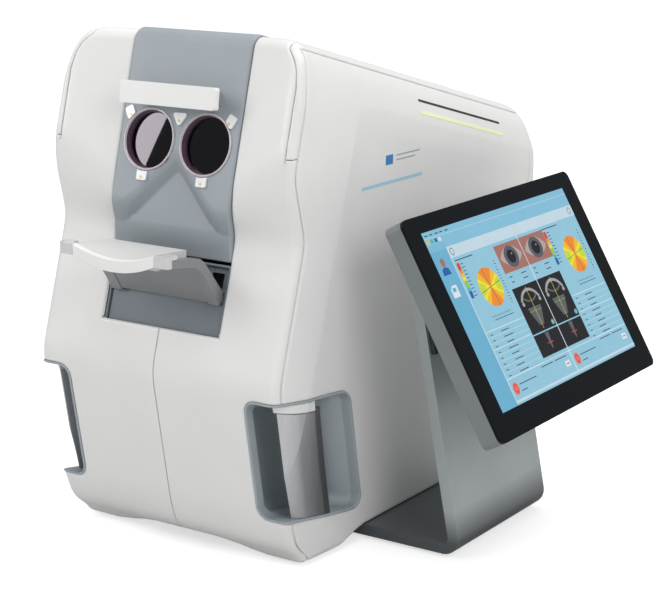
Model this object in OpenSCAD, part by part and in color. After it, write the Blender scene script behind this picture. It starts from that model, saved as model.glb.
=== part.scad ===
// Desktop binocular eye-measuring unit with a side display on a bent strip stand.
// Units are millimetres, +Z is up, +Y points to the back, +X to the display side.
// The origin lies on the table under the middle of the body.
// Build one node by setting `node` to its name, or the whole unit with "all".

/* [Body] */
// half width of the body at its widest band
body_half = 140.5; // [138:0.5:144]
// wall thickness of the covers
wall = 3; // [2.5:0.1:3.5]
// depth of the soft recess in each side
side_recess = 5; // [3:0.5:6]
// gap shown at the seams between covers
seam = 0.6; // [0.4:0.1:1]

/* [Eye windows] */
// distance between the two window centres
eye_spacing = 64; // [62:0.5:66]
// outer radius of the window rings
ring_r = 29.3; // [28:0.1:29.5]
// radius of the window glass
glass_r = 24.5; // [22:0.1:25]

/* [Forehead and chin] */
// half width of the forehead rest
rest_half = 53.5; // [48:0.5:56]
// height of the forehead rest
rest_h = 20; // [16:0.5:24]
// half width of the chin band over its end blocks
chin_half = 62; // [58:0.5:62]
// how far the chin band dips in the middle
chin_dip = 9; // [5:0.5:10]

/* [Grips] */
// height of the grip openings
grip_h = 111; // [100:1:112]
// height of the pale cap above each grip bar
cap_h = 8; // [6:0.5:12]

/* [Stand and display] */
// thickness of the bent strip
strip_t = 11; // [9:0.5:12]
// width of the bent strip
strip_w = 168.7; // [150:0.1:172]
// lean of the display away from upright, in degrees
lean = 29.8; // [25:0.2:32]
// visible picture width
pic_w = 266.7; // [250:0.1:270]
// visible picture height
pic_h = 171; // [160:0.5:174]
// thickness of the display housing behind the glass
back_t = 17; // [14:0.5:18]

/* [Detail] */
// facets on small round parts
detail = 48; // [32:4:96]

/* [Hidden] */
$fn = detail;
gap = 0.15;
// distance from the front outline back to the side seam
seam_d = 11.4;
HW = body_half;

// node to draw, or "all"

// ---------------------------------------------------------------- outlines
// slopes of the main outer planes, as rise in y per rise in z
chest_s = 0.3142;
top_s = -0.2595;
top_a = atan(top_s);
chest_a = atan(chest_s);

// front outline [y, z] at the body corners, from the bottom edge to the top
front_low = [[-196, 12], [-206, 17], [-213, 27], [-219.5, 48], [-240.5, 167], [-241, 176],
    [-240, 184], [-205.3, 294.5], [-203.8, 302]];
front_up = [[-204.5, 309], [-216.9, 355], [-217.7, 360.5], [-217, 366], [-190.7, 456], [-185, 467],
    [-177, 474], [-168, 476]];
// top corner and rear outline [y, z], down to the bottom edge
rear = [[182, 385.2], [208, 374], [227, 357], [238, 333], [245, 300], [248, 255], [247, 120],
    [241, 30], [236, 17], [228, 12]];

function unit(v) = v / norm(v);
function nrm(a, b) = let (d = unit(b - a)) [d.y, -d.x];
// moves every corner of a closed outline inwards by t (negative t grows it)
function inset(p, t) = let (n = len(p)) [for (i = [0 : n - 1])
    let (a = nrm(p[(i + n - 1) % n], p[i]), b = nrm(p[i], p[(i + 1) % n]))
    p[i] + t * (a + b) / (1 + a * b)];
function rev(p) = [for (i = [len(p) - 1 : -1 : 0]) p[i]];
function arc(c, r, a0, a1, n = 8) = [for (i = [0 : n])
    let (a = a0 + (a1 - a0) * i / n) c + r * [cos(a), sin(a)]];
function rounded(w, h, r, n = 6) = concat(
    arc([w / 2 - r, h / 2 - r], r, 0, 90, n), arc([-w / 2 + r, h / 2 - r], r, 90, 180, n),
    arc([-w / 2 + r, -h / 2 + r], r, 180, 270, n), arc([w / 2 - r, -h / 2 + r], r, 270, 360, n));

// front outline left open far behind, for the slanted steps of the corner
corner_outline = concat([[3000, -8], [-176, -8]], front_low, front_up, [[-150, 560], [3000, 560]]);
rear_outline = concat([[-430, 12], [-430, 520], [-300, 480.5 + 0.2595 * 150]], [[-168, 477.5]],
    [for (q = rear) q + [0, q.y > 300 ? 1.2 : 0]]);
// rounding of each front corner in plan: [x, how far behind the front outline]
corner = [[126, 0], [131, 2], [134.5, 5.5], [136.2, 10], [HW, 60]];
// half section of the roof edge: [x, height against the top plane]
roof_edge = [[60, 1.3], [100, 0], [112, -2.2], [119, -6.2], [124.5, -12], [129, -20], [HW, -47]];

// polygon in the Y-Z plane drawn out along X
module along_x(p, x0, x1) {
    translate([x0, 0, 0]) rotate([90, 0, 90]) linear_extrude(x1 - x0) polygon(p);
}
// polygon in the X-Z plane drawn out along Y
module along_y(p, y0, y1) {
    translate([0, y1, 0]) rotate([90, 0, 0]) linear_extrude(y1 - y0) polygon(p);
}
// polygon in the X-Y plane drawn out along Z
module along_z(p, z0, z1) {
    translate([0, 0, z0]) linear_extrude(z1 - z0) polygon(p);
}
// all points with n * p <= d
module half_space(n, d, s = 620) {
    l = norm(n);
    rotate([0, acos(n.z / l), atan2(n.y, n.x)]) translate([-s, -s, d / l - 2 * s]) cube(2 * s);
}
module box(lo, hi) translate(lo) cube(hi - lo);
module mirrored(side) {
    if (side > 0) children();
    else mirror([1, 0, 0]) children();
}

// ---------------------------------------------------------------- body form
// one step of the rounded front corner: the outline swept along a slanted line in plan
module corner_step(k, t) {
    a = corner[k];
    b = corner[k + 1];
    m = (b.y - a.y) / (b.x - a.x);
    x0 = a.x - a.y / m - t * (sqrt(1 + m * m) - 1) / m;
    g = atan(m);
    p = inset(corner_outline, t);
    translate([x0, 0, 0]) rotate([0, 0, g]) rotate([90, 0, 90])
        linear_extrude(1300, center = true) polygon([for (q = p) [q.x * cos(g), q.y]]);
}
// roof planes of the right half, running down to the rear
module roof(t) {
    p = inset(concat([[-60, 1.3]], roof_edge, [[HW, -700], [-60 , -700]]), t);
    translate([0, -168, 476]) rotate([top_a, 0, 0]) rotate([90, 0, 0])
        linear_extrude(1400, center = true) polygon([for (q = p) [q.x, q.y * cos(top_a)]]);
}
// soft recess of the side, bounded by a front line and a line below the roof
module side_hollow(t) {
    w = HW - t;
    translate([0, -184, 184]) rotate([-chest_a, 0, 0]) linear_extrude(1200, center = true)
        polygon([[w + 0.2, -1.5], [w - side_recess, 46], [w - side_recess, 700], [w + 60, 700],
            [w + 60, -1.5]]);
}
module roof_hollow(t) {
    w = HW - t;
    translate([0, -168, 476]) rotate([top_a, 0, 0]) rotate([90, 0, 0])
        linear_extrude(1400, center = true) polygon([[w + 0.2, -46], [w + 60, -46], [w + 60, -700],
            [w - side_recess, -700], [w - side_recess, -90]]);
}
module rear_plan(t) {
    w = HW - t;
    y = 250 - t;
    along_z(concat([[-80, -450], [w, -450]], arc([w - 28, y - 28], 28, 0, 90, 7), [[-80, y]]), -5, 560);
}
// front planes of the right cover: brow, brow underside and chest
module cover_front(t) {
    n1 = [-0.25, -1, 0.28];
    n2 = [0.0875, -1, -0.272];
    intersection() {
        half_space(n1, 190.7 + 0.28 * 456 - 0.25 * 128 - t * norm(n1));
        half_space(n2, 217 - 0.272 * 356 + 0.0875 * 128 - t * norm(n2));
    }
    q = concat([for (p = front_low) if (p.y < 290) p], [[-240 + chest_s * 196, 380], [400, 380],
        [400, -20], [-196, -20]]);
    along_x(inset(q, t), -60, 300);
}
// body solid of the right half, inset by t
module half_body(t) {
    difference() {
        intersection() {
            box([-0.02, -430, 0], [200, 260, 520]);
            along_x(inset(rear_outline, t), -10, 220);
            roof(t);
            rear_plan(t);
            corner_step(0, t);
            corner_step(1, t);
            corner_step(2, t);
            corner_step(3, t);
            cover_front(t);
        }
        intersection() {
            side_hollow(t);
            roof_hollow(t);
        }
    }
}
module half_shell() {
    difference() {
        half_body(0);
        half_body(wall);
    }
}
module full_shell() {
    half_shell();
    mirror([1, 0, 0]) half_shell();
}
// region in front of the side seam: d behind the corner outline
module front_zone(d) {
    f = concat(front_low, front_up);
    along_x(concat([[-430, -10], [-196 + d, -10]], [for (q = f) q + [d, 0]], [[-168 + d, 560],
        [-430, 560]]), -1, 220);
}
// region above the roof seam
module roof_zone(dz) {
    translate([0, -168, 476]) rotate([top_a, 0, 0]) box([-220, -400, dz], [220, 520, 200]);
}
// corner strip seen from the front
module strip_zone(g) {
    along_y([[127.5 + g, 378 + g], [127.5 + g, 438], [125 + g, 452], [120.5 + g, 461], [112 + g, 469.5],
        [112 + g, 560], [220, 560], [220, 378 + g]], -430, -140);
}

// ---------------------------------------------------------------- grip recess
// finger space around the corner, grown by g
module grip_space(g) {
    lean_a = 10;
    plan = [[103.5, -60], [103.5, 40], [106, 74], [114, 97], [127, 111], [140, 115], [190, 115],
        [190, -60]];
    deep = [[92, 12], [90, 26], [90, 62], [97, 84], [108, 97], [126, 104], [131, 60], [126, 12]];
    h = grip_h;
    intersection() {
        translate([0, -220.6, 54]) rotate([lean_a, 0, 0]) union() {
            along_z(inset(plan, -g), -60, 200);
        }
        // seen from the front, with round corners
        along_y(inset(rev(concat(arc([114, 65], 10, 180, 270, 5), [[190, 55]], [[190, 54 + h]],
            arc([114, 44 + h], 10, 90, 180, 5))), -g), -300, 0);
        // seen from the side, both edges falling to the rear
        along_x(inset(rev(concat([[-300, 70]], [[-224, 54]], [[-123, 38]],
            arc([-115, 50], 12, 285, 350, 4), arc([-127.5, 140], 12, 10, 80, 4),
            [[-238, 54 + h]], [[-300, 60 + h]])), -g), 60, 200);
    }
    intersection() {
        translate([0, -220.6, 54]) rotate([lean_a, 0, 0]) along_z(inset(deep, -g), -60, 200);
        along_x(inset(rev([[-300, 60], [-224, 60], [-123, 44], [-90, 50], [-90, 120], [-127, 145],
            [-238, 48 + h], [-300, 50 + h]]), -g), 60, 200);
    }
}
module grip_bar_plan(g) {
    translate([0, -220.6, 54]) rotate([10, 0, 0]) along_z(inset(rev([[136.1, 9.6], [146, 9.6],
        [146, 56], [139.5, 57.5], [131, 57], [126, 50], [124, 34], [125.5, 18], [130, 11]]), -g), -40, 200);
}
module grip_bar_z(z0, z1) {
    // band between two planes that fall to the rear like the opening's edges
    along_x([[-300, z0 + 11], [-60, z0 - 27], [-60, z1 - 31], [-300, z1 + 11]], 60, 200);
}

// ---------------------------------------------------------------- outside nodes
module base_plate() color("DimGray") {
    difference() {
        union() {
            intersection() {
                half_body(wall + 0.4);
                box([-1, -300, 15.2], [200, 260, 19]);
            }
            mirror([1, 0, 0]) intersection() {
                half_body(wall + 0.4);
                box([-1, -300, 15.2], [200, 260, 19]);
            }
        }
        for (x = [60, 100], y = [-60, 40]) translate([x, y, 5]) cylinder(r = 3.2, h = 30);
        for (x = [-94, 94], y = [-120, 140]) translate([x, y, 5]) cylinder(r = 3.1, h = 30);
        for (y = [90 : 14 : 160]) box([-60, y, 5], [60, y + 5, 30]);
    }
}
module foot_pods() color("WhiteSmoke") {
    for (s = [-1, 1]) mirrored(s) {
        intersection() {
            along_x([[-116, 11.9], [-128, 6], [-140, 3], [-174, 3], [-181, 4.4], [-190, 8],
                [-196.5, 11.9]], 66, 132);
            along_y([[68, 11.9], [72, 9], [82, 3], [118, 3], [127, 7], [131, 11.9]], -260, 0);
        }
        intersection() {
            along_x([[236, 11.9], [230, 7], [222, 3], [184, 3], [172, 7], [166, 11.9]], 66, 132);
            along_y([[68, 11.9], [72, 9], [82, 3], [118, 3], [127, 7], [131, 11.9]], 0, 260);
        }
    }
    // middle foot under the base plate
    translate([0, 0, 3]) cylinder(r = 15, h = 12.1);
}
module foot_pads() color("Black") {
    translate([0, 0, 0]) cylinder(r = 13, h = 2.9);
    for (x = [-100, 100], y = [-158, 203]) translate([x, y, 0]) cylinder(r = 13, h = 2.9);
}
module shell_cut() {
    // openings shared by the side covers
    grip_space(2.6);
    groove(26.5, 0, 157, 2.1);
    groove(37.5, 0, 160, 2.6);
}
// groove in the roof edge band at depth dz below the top plane
module groove(dz, y0, y1, h, d = 6) {
    a = atan2(27, HW - 129);
    c = cos(top_a);
    x = 129 + (dz - 20) * (HW - 129) / 27;
    translate([0, -168, 476]) rotate([top_a, 0, 0])
        translate([x, (y0 + 168) / c, -dz * c]) rotate([0, a - 90, 0])
        box([-d, 0, -h / 2], [5, (y1 - y0) / c, h / 2]);
}
module shell_side(s) color("WhiteSmoke") mirrored(s) difference() {
    intersection() {
        half_shell();
        box([104, -300, 0], [200, 214.7, 500]);
    }
    front_zone(seam_d + seam);
    roof_zone(-9 - seam);
    box([0, -430, 200], [126.5 + seam, -150 + seam, 560]);
    box([0, -300, 0], [118, 300, 11]);
    box([0, -300, 0], [126, 300, 14.8]);
    if (s > 0) box([100, stand_y - 1, 0], [200, stand_y + strip_w + 1, 14.8]);
    shell_cut();
}
module front_cover(s) color("White") mirrored(s) difference() {
    intersection() {
        half_shell();
        union() {
            front_zone(seam_d);
            box([0, -430, 200], [126.5, -150, 560]);
        }
        box([seam / 2, -430, 0], [200, -120, 560]);
    }
    // opening for the face panel and the chin well
    box([-80, -430, 216], [67.3, -100, 560]);
    intersection() {
        strip_zone(0);
        front_zone(60);
    }
    intersection() {
        roof_zone(-9 - seam);
        box([112, -430, 0], [220, 300, 560]);
    }
    box([117, -159, 440], [130, -149, 468]);
    box([0, -300, 0], [116, -170, 11]);
    grip_space(2.6);
}
module edge_band(s) color("White") mirrored(s) intersection() {
    half_shell();
    box([0, -430, 0], [200, 214.7, 560]);
    union() {
        intersection() {
            strip_zone(seam);
            front_zone(seam_d);
        }
        intersection() {
            roof_zone(-9);
            box([112 + seam, -430, 0], [220, 300, 560]);
        }
    }
}
module top_cover() color("White") difference() {
    intersection() {
        full_shell();
        roof_zone(-9);
        box([-112, -149.5, 0], [112, 214.7, 560]);
    }
    box([-67.3, -200, 0], [67.3, -39.4, 560]);
}
module rear_cover() color("WhiteSmoke") difference() {
    intersection() {
        full_shell();
        box([-220, 215.3, 0], [220, 300, 560]);
    }
    // fan grille, inlet and port openings
    for (i = [-3 : 3]) box([-29 - 60, 200, 240 + i * 8 - 2], [29 - 60, 300, 240 + i * 8 + 2]);
    box([56, 200, 54.3], [110.2, 300, 81.7]);
    box([-80, 200, 56], [-20, 300, 74]);
    for (i = [0 : 9]) box([-50, 200, 110 + i * 9], [50, 300, 113.5 + i * 9]);
}

// ---------------------------------------------------------------- face panel
face_y = -197.5;
face_z = 380.5;
face_s = 0.275;
face_a = atan(face_s);
function face_at(z) = face_y + face_s * (z - face_z);
face_outline = [[-207.6, 279], [-209, 294], [-213.2, 322], [face_at(330), 330], [face_at(455), 455],
    [-171.5, 467], [-166, 474.3], [-158, 476.6], [-40, 446], [-40, 442.3], [-157, 472.3],
    [-163, 470.2], [-168, 465], [face_at(454) + 4, 454], [face_at(330) + 4, 330], [-209, 322],
    [-204.6, 294], [-203.4, 279]];
// wedge-shaped relief for the nose; its floor leans forward going down
module nose_cut(g) intersection() {
    union() {
        for (s = [-1, 1]) mirrored(s) {
            intersection() {
                half_space([0.886, 0.9, 1], 367 + 0.9 * face_at(367) + g);
                box([-0.01, -260, 270], [80, -150, 380]);
            }
            intersection() {
                half_space([0.6, 0.9, 1], 357.2 + 0.9 * face_at(340) + g);
                box([-0.01, -260, 270], [80, -150, 380]);
            }
        }
    }
    // in front of the floor plane
    half_space([0, 1, -0.19], -190 - 0.19 * 353 + g);
    box([-66.9 - g, -260, 270], [66.9 + g, -150, 380]);
}
// frame of one window, z along the outward normal
module eye_frame(s) translate([s * eye_spacing / 2, face_y, face_z]) rotate([90 - face_a, 0, 0])
    children();
// frame of a lamp pad on the panel, turned by r about the normal
module pad_frame(x, z, r) translate([x, face_at(z), z]) rotate([90 - face_a, 0, 0])
    rotate([0, 0, r]) children();
pads = [[57, 402.5, -28, 11, 9], [34, 349.2, 0, 10.6, 11], [-57, 402.5, 28, 11, 9],
    [-34, 349.2, 0, 10.6, 11]];

module face_panel() color("SlateGray") difference() {
    union() {
        difference() {
            along_x(face_outline, -66.7, 66.7);
            nose_cut(0);
        }
        // backing of the nose relief
        difference() {
            intersection() {
                nose_cut(2.6);
                box([-66.7, -214, 279], [66.7, -180, 372]);
                half_space([0, -1, 0.275], 197.5 + 0.275 * 380.5 - 2);
            }
            nose_cut(0);
        }
    }
    for (s = [-1, 1]) eye_frame(s) translate([0, 0, -20]) cylinder(r = 26.6, h = 40);
    for (p = pads) pad_frame(p[0], p[1], p[2]) box([-2.2, -2.2, -20], [2.2, 2.2, 20]);
    pad_frame(0, 400.4, 0) box([-2.2, -2.2, -20], [2.2, 2.2, 20]);
    for (x = [-38, 38]) translate([x, face_at(424), 424]) rotate([90, 0, 0])
        cylinder(r = 4.15, h = 60, center = true);
}
module eye_ring(s) color("Gainsboro") eye_frame(s) rotate_extrude()
    polygon([[22.6, -9], [26.4, -9], [26.4, 0.1], [ring_r, 0.1], [ring_r, 1.2], [ring_r - 0.8, 2],
        [ring_r - 2.4, 2], [ring_r - 3, 1], [ring_r - 3.4, -0.6], [glass_r + 0.4, -1.2],
        [glass_r + 0.2, -4.8], [22.6, -4.8]]);
module eye_glass(s) color([0.1, 0.07, 0.15, 0.6]) eye_frame(s) translate([0, 0, -4.7])
    cylinder(r = glass_r, h = 1.6);
module lamp_pads() color("White") difference() {
    union() {
        for (p = pads) pad_frame(p[0], p[1], p[2]) lamp_pad(-2.5) polygon(rounded(p[4], p[3], 1.6));
        pad_frame(0, 400.4, 0) lamp_pad(-1.6) polygon([[-7, 4.6], [-5.6, 5.6], [5.6, 5.6],
            [7, 4.6], [7, 2.6], [1.4, -5.4], [-1.4, -5.4], [-7, 2.6]]);
    }
    for (s = [-1, 1]) eye_frame(s) translate([0, 0, -1]) cylinder(r = ring_r + 0.2, h = 8);
}
// raised pad with a peg behind it and a seat for the lamp
module lamp_pad(y) difference() {
    union() {
        translate([0, 0, 0.1]) linear_extrude(1.9) children();
        box([-2, -2, -5], [2, 2, 0.2]);
    }
    translate([0, y, 1.2]) cylinder(r = 1.25, h = 3);
}
module lamp_dots() color("Gold") {
    for (p = pads) pad_frame(p[0], p[1], p[2]) translate([0, -2.5, 1.25]) cylinder(r = 1.15, h = 1.1);
    pad_frame(0, 400.4, 0) translate([0, -1.6, 1.25]) cylinder(r = 1.15, h = 1.1);
}

// ---------------------------------------------------------------- forehead rest
rest_y = -211.5;
rest_z = 424.2;
module rest_frame() translate([0, rest_y, rest_z]) rotate([-7.5, 0, 0]) children();
module forehead_rest() color("White") rest_frame() difference() {
    along_y(rounded(2 * rest_half, rest_h, 2.5), 0, 7);
    for (x = [-38, 38]) translate([x, 3, 0]) rotate([-90, 0, 0]) cylinder(r = 3.1, h = 6);
}
module forehead_holder() color("LightGray") {
    rest_frame() {
        along_y(rounded(2 * rest_half + 3, 13, 2), 7.1, 10);
        for (x = [-38, 38]) translate([x, 3.4, 0]) rotate([-90, 0, 0]) cylinder(r = 2.9, h = 5);
    }
    for (x = [-38, 38]) translate([x, -203.2, 424]) rotate([-90, 0, 0]) cylinder(r = 4, h = 26);
}

// ---------------------------------------------------------------- chin rest
// frame of the chin slide: z runs up along the chest, y into the body
module chin_frame() translate([0, -224, 216]) rotate([-chest_a, 0, 0]) children();
module chin_well() color("DimGray") chin_frame() difference() {
    box([-66.6, -2.2, -40.5], [66.6, 26, 63]);
    box([-64.4, -9, -38], [64.4, 23.6, 61]);
    box([-70, -9, -50], [70, -0.6, -9]);
    // way through for the two tongues of the bracket and the screw's nut
    for (x = [-50, 50]) box([x - 9, 20, 2], [x + 9, 30, 60]);
}
module chin_bracket() color("Silver") difference() {
    union() {
        for (s = [-1, 1]) mirrored(s) along_x([[-284.3, 288.3], [-284.3, 295], [-246, 290], [-239, 285],
            [-213.5, 253], [-213, 246], [-217.6, 243.6], [-220.8, 242.8], [-226, 252], [-243, 276],
            [-250, 282.5]], 50, chin_half);
        // web between the two arms, set back a little from their fronts
        along_x([[-220.1, 244.1], [-225.2, 252.4], [-242.2, 276.4], [-249, 282.4], [-246.6, 284],
            [-239.4, 277.6], [-222.4, 253.6], [-217.6, 245.6]], -51, 51);
        chin_frame() for (x = [-50, 50]) box([x - 6, -1.8, 28], [x + 6, 33.9, 36]);
    }
}
module chin_band() color("White") {
    n = 20;
    top = [for (i = [0 : n]) let (x = -46 + 92 * i / n) [x, 298.6 - chin_dip * (1 - pow(x / 46, 2))]];
    bot = [for (i = [n : -1 : 0]) let (x = -46 + 92 * i / n) [x, 288.3 - 10 * (1 - pow(x / 46, 2))]];
    along_y(concat(top, bot), -290, -284.5);
}
module chin_tabs() color("Silver") for (s = [-1, 1]) mirrored(s) {
    front = arc([chin_half - 3, -287], 3, -90, 0, 5);
    along_z(concat([[46.2, -284.5], [46.2, -290]], front, [[chin_half, -284.5]]), 288.3, 298.6);
    along_z(concat([[46.2, -284.5], [46.2, -290]], front, [[chin_half, -277], [50, -277],
        [50, -284.5]]), 295.2, 298.6);
}
module chin_cup() color("White") difference() {
    intersection() {
        along_x([[-284.3, 298.2], [-240, 294.4], [-240, 287.6], [-252, 284.9], [-262, 284],
            [-284.3, 284]], -46, 46);
        along_z([[-45.8, -290], [45.8, -290], [41.8, -236], [-41.8, -236]], 270, 310);
    }
    // shallow basin that runs out towards the back
    translate([0, -284, 406.9]) rotate([-79.2, 0, 0])
        cylinder(r = 116, h = 120, center = true, $fn = 180);
}
module chin_apron() color("LightSlateGray") chin_frame() difference() {
    box([-63.6, 0, -19], [63.6, 1.8, 42]);
    // clear of the arms and their tongues
    for (s = [-1, 1]) mirrored(s) box([43.7, -1, 27.5], [62.3, 3, 38.5]);
}
module chin_carriage() color("Silver") chin_frame() difference() {
    box([-58, 34, 18], [58, 50, 48]);
    for (x = [-38, 38]) translate([x, 42, 0]) cylinder(r = 5.05, h = 90);
    translate([0, 42, 0]) cylinder(r = 4.05, h = 90);
}
module chin_rods() color("Silver") chin_frame() {
    for (x = [-38, 38]) translate([x, 42, -32]) cylinder(r = 5, h = 112);
    difference() {
        box([-58, 30, -42], [58, 54, -32]);
        translate([0, 42, -50]) cylinder(r = 4.05, h = 40);
    }
    difference() {
        box([-58, 33.9, 80], [58, 50, 84]);
        translate([0, 42, 70]) cylinder(r = 4.05, h = 40);
    }
    // feet that tie the lower block to the well
    for (x = [-1, 1]) mirrored(x) box([50, 26.1, -42], [58, 30, -34]);
}
module chin_screw() color("Goldenrod") chin_frame() translate([0, 42, -46]) {
    cylinder(r = 4, h = 128);
    translate([0, 0, -16]) cylinder(r = 9, h = 16);
}

// ---------------------------------------------------------------- grips, vents and lights
module grip_liner(s) color("SlateGray") mirrored(s) difference() {
    intersection() {
        grip_space(2.4);
        half_body(-0.9);
        box([80, -300, 20], [200, -60, 200]);
    }
    grip_space(0);
}
module grip_bars() color("Silver") for (s = [-1, 1]) mirrored(s) intersection() {
    grip_bar_plan(0);
    half_body(0.3);
    grip_bar_z(51.5, 51 + grip_h - cap_h);
    grip_space(-0.1);
}
module grip_caps() color("White") for (s = [-1, 1]) mirrored(s) intersection() {
    grip_bar_plan(-0.5);
    half_body(0);
    grip_bar_z(51.3 + grip_h - cap_h, 90 + grip_h);
    grip_space(-0.1);
}
module vent_strips() color("DimGray") for (s = [-1, 1]) mirrored(s) intersection() {
    groove(26.5, gap, 157 - gap, 1.8);
    half_body(0.8);
    difference() {
        box([100, -30, 300], [200, 200, 480]);
        half_body(wall + 1.5);
    }
}
module light_guides() color("PaleGreen") for (s = [-1, 1]) mirrored(s) intersection() {
    groove(37.5, gap, 160 - gap, 2.3);
    half_body(-0.3);
    difference() {
        box([100, -30, 300], [200, 200, 480]);
        half_body(wall + 1.5);
    }
}
module accent_stripe() color("SkyBlue")
    box([HW - side_recess + 0.1, -84, 335], [HW - side_recess + 0.5, 0, 338]);

// ---------------------------------------------------------------- stand
stand_y = -95.1;
foot_x = 36;
arm_a = 10.8;
arm_foot = [240.4, 3];
// strip outline in X-Z: foot along the table, a bend, then an arm leaning to the body
function strip_outline(t) = let (
    up = [-sin(arm_a), cos(arm_a)], inw = [-cos(arm_a), -sin(arm_a)],
    ro = 16, ri = 5, half = (90 - arm_a) / 2, lo = ro / tan(half),
    c = [arm_foot.x - lo, arm_foot.y + ro], h = 248,
    inner = [arm_foot.x - t / cos(arm_a) - t * tan(arm_a), arm_foot.y + t],
    li = ri / tan(half), ci = [inner.x - li, inner.y + ri], top = arm_foot + up * (h / cos(arm_a)))
    concat([[foot_x, arm_foot.y + t], [foot_x, arm_foot.y]], arc(c, ro, -90, arm_a, 8),
        arc(top + inw * 3, 3, arm_a, 90 + arm_a, 3), arc(top + inw * (t - 3), 3, 90 + arm_a,
        180 + arm_a, 3), arc(ci, ri, arm_a, -90, 5));
module arm_frame(z) translate([arm_foot.x - tan(arm_a) * (z - arm_foot.y), 0, z])
    rotate([0, -arm_a, 0]) children();
module stand_strip() color("Gray") difference() {
    along_y(strip_outline(strip_t), stand_y, stand_y + strip_w);
    for (x = [60, 100], y = [-60, 40]) translate([x, y, -1]) cylinder(r = 3.2, h = 40);
    for (y = [-70, 50]) for (z = [-14, 14]) arm_frame(212) translate([0, y, z]) rotate([0, 90, 0])
        cylinder(r = 2.6, h = 40, center = true);
}
module stand_pads() color("Black") {
    for (y = [stand_y + 12, stand_y + strip_w - 22]) box([50, y, 0], [215, y + 10, 2.9]);
}
module stand_bolts() color("Silver") for (x = [60, 100], y = [-60, 40]) translate([x, y, 4]) {
    cylinder(r = 3, h = 16);
    translate([0, 0, 15.1]) cylinder(r = 5.5, h = 4);
}

// ---------------------------------------------------------------- display and tilt hinge
pivot = [221, 0, 219];
screen_c = [259.5, 0, 236.9];
// display frame: x to the viewer's right, y up the picture, z out of the glass
module disp() translate(screen_c) rotate([90 - lean, 0, 90]) children();
out_w = pic_w + 42.7;
out_top = pic_h / 2 + 15.4;
out_bot = pic_h / 2 + 23.9;
lug_y = [-85, 57];

module tilt_base() color("DimGray") difference() {
    union() {
        arm_frame(212) translate([0.1, 0, 0]) box([0, -92, -22], [4, 70, 22]);
        for (y = lug_y) along_y(concat(arc([pivot.x, pivot.z], 8, -60, 100, 8),
            [[201.5, 229], [205, 200]]), y, y + 8);
    }
    for (y = lug_y) translate([pivot.x, y - 1, pivot.z]) rotate([-90, 0, 0]) cylinder(r = 4.05, h = 12);
    for (y = [-70, 50], z = [-14, 14]) arm_frame(212) translate([0, y, z]) rotate([0, 90, 0])
        cylinder(r = 2.2, h = 40, center = true);
}
module tilt_pin() color("Silver") translate([pivot.x, -93, pivot.z]) rotate([-90, 0, 0]) {
    cylinder(r = 4, h = 164);
    translate([0, 0, -2]) cylinder(r = 7, h = 2);
    translate([0, 0, 164]) cylinder(r = 7, h = 2);
}
module tilt_arm() color("DimGray") {
    difference() {
        union() {
            disp() box([-62, -40, -24.1], [44, 18, -20.6]);
            for (y = [-60, 36]) hull() {
                translate([pivot.x, y, pivot.z]) rotate([-90, 0, 0]) cylinder(r = 8, h = 12, $fn = 32);
                disp() box([y, -26, -24.1], [y + 12, 6, -22]);
            }
        }
        for (y = [-60, 36]) translate([pivot.x, y - 2, pivot.z]) rotate([-90, 0, 0])
            cylinder(r = 4, h = 16);
    }
}
module display_back() color("SlateGray") disp() difference() {
    union() {
        translate([0, (out_top - out_bot) / 2, -3.4 - back_t]) linear_extrude(back_t)
            polygon(rounded(out_w, out_top + out_bot, 7));
        // shallow step that carries the arm
    }
    translate([0, (out_top - out_bot) / 2, -3.4 - back_t + 3]) linear_extrude(back_t)
        polygon(rounded(out_w - 5, out_top + out_bot - 5, 5));
    for (i = [-6 : 6]) box([-96 + i * 6, 30, -30], [-93 + i * 6, 70, -15]);
    for (i = [-6 : 6]) box([96 + i * 6, 30, -30], [99 + i * 6, 70, -15]);
}
module display_bezel() color("Black") disp() difference() {
    translate([0, (out_top - out_bot) / 2, -3.3]) linear_extrude(3.3)
        polygon(rounded(out_w, out_top + out_bot, 7));
    box([-pic_w / 2, -pic_h / 2, -5], [pic_w / 2, pic_h / 2, 5]);
}
module display_screen() color("SkyBlue") disp()
    box([-pic_w / 2 + 0.1, -pic_h / 2 + 0.1, -9], [pic_w / 2 - 0.1, pic_h / 2 - 0.1, -0.6]);

// ---------------------------------------------------------------- optical unit inside
module optic_frame() color("DarkGray") {
    difference() {
        box([-104, -130, 250], [104, 150, 256]);
        box([-60, -60, 240], [60, 80, 260]);
    }
    for (x = [-94, 94], y = [-120, 140]) translate([x, y, 19.1]) cylinder(r = 8, h = 231.4);
    // end blocks for the cross rods and the screw
    for (x = [-104, 92]) difference() {
        box([x, -112, 255.5], [x + 12, -88, 284]);
        translate([x - 1, -100, 272]) rotate([0, 90, 0]) cylinder(r = 5, h = 14);
    }
    for (x = [-104, 92]) difference() {
        box([x, 78, 255.5], [x + 12, 134, 284]);
        translate([x - 1, 90, 272]) rotate([0, 90, 0]) cylinder(r = 5, h = 14);
        translate([x - 1, 120, 272]) rotate([0, 90, 0]) cylinder(r = 4.05, h = 14);
    }
}
module x_rods() color("Silver") for (y = [-100, 90]) translate([-104, y, 272]) rotate([0, 90, 0])
    cylinder(r = 5, h = 208);
module x_screw() color("Goldenrod") translate([-104, 120, 272]) rotate([0, 90, 0]) {
    cylinder(r = 4, h = 212);
    translate([0, 0, 209]) cylinder(r = 10, h = 10);
}
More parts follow.
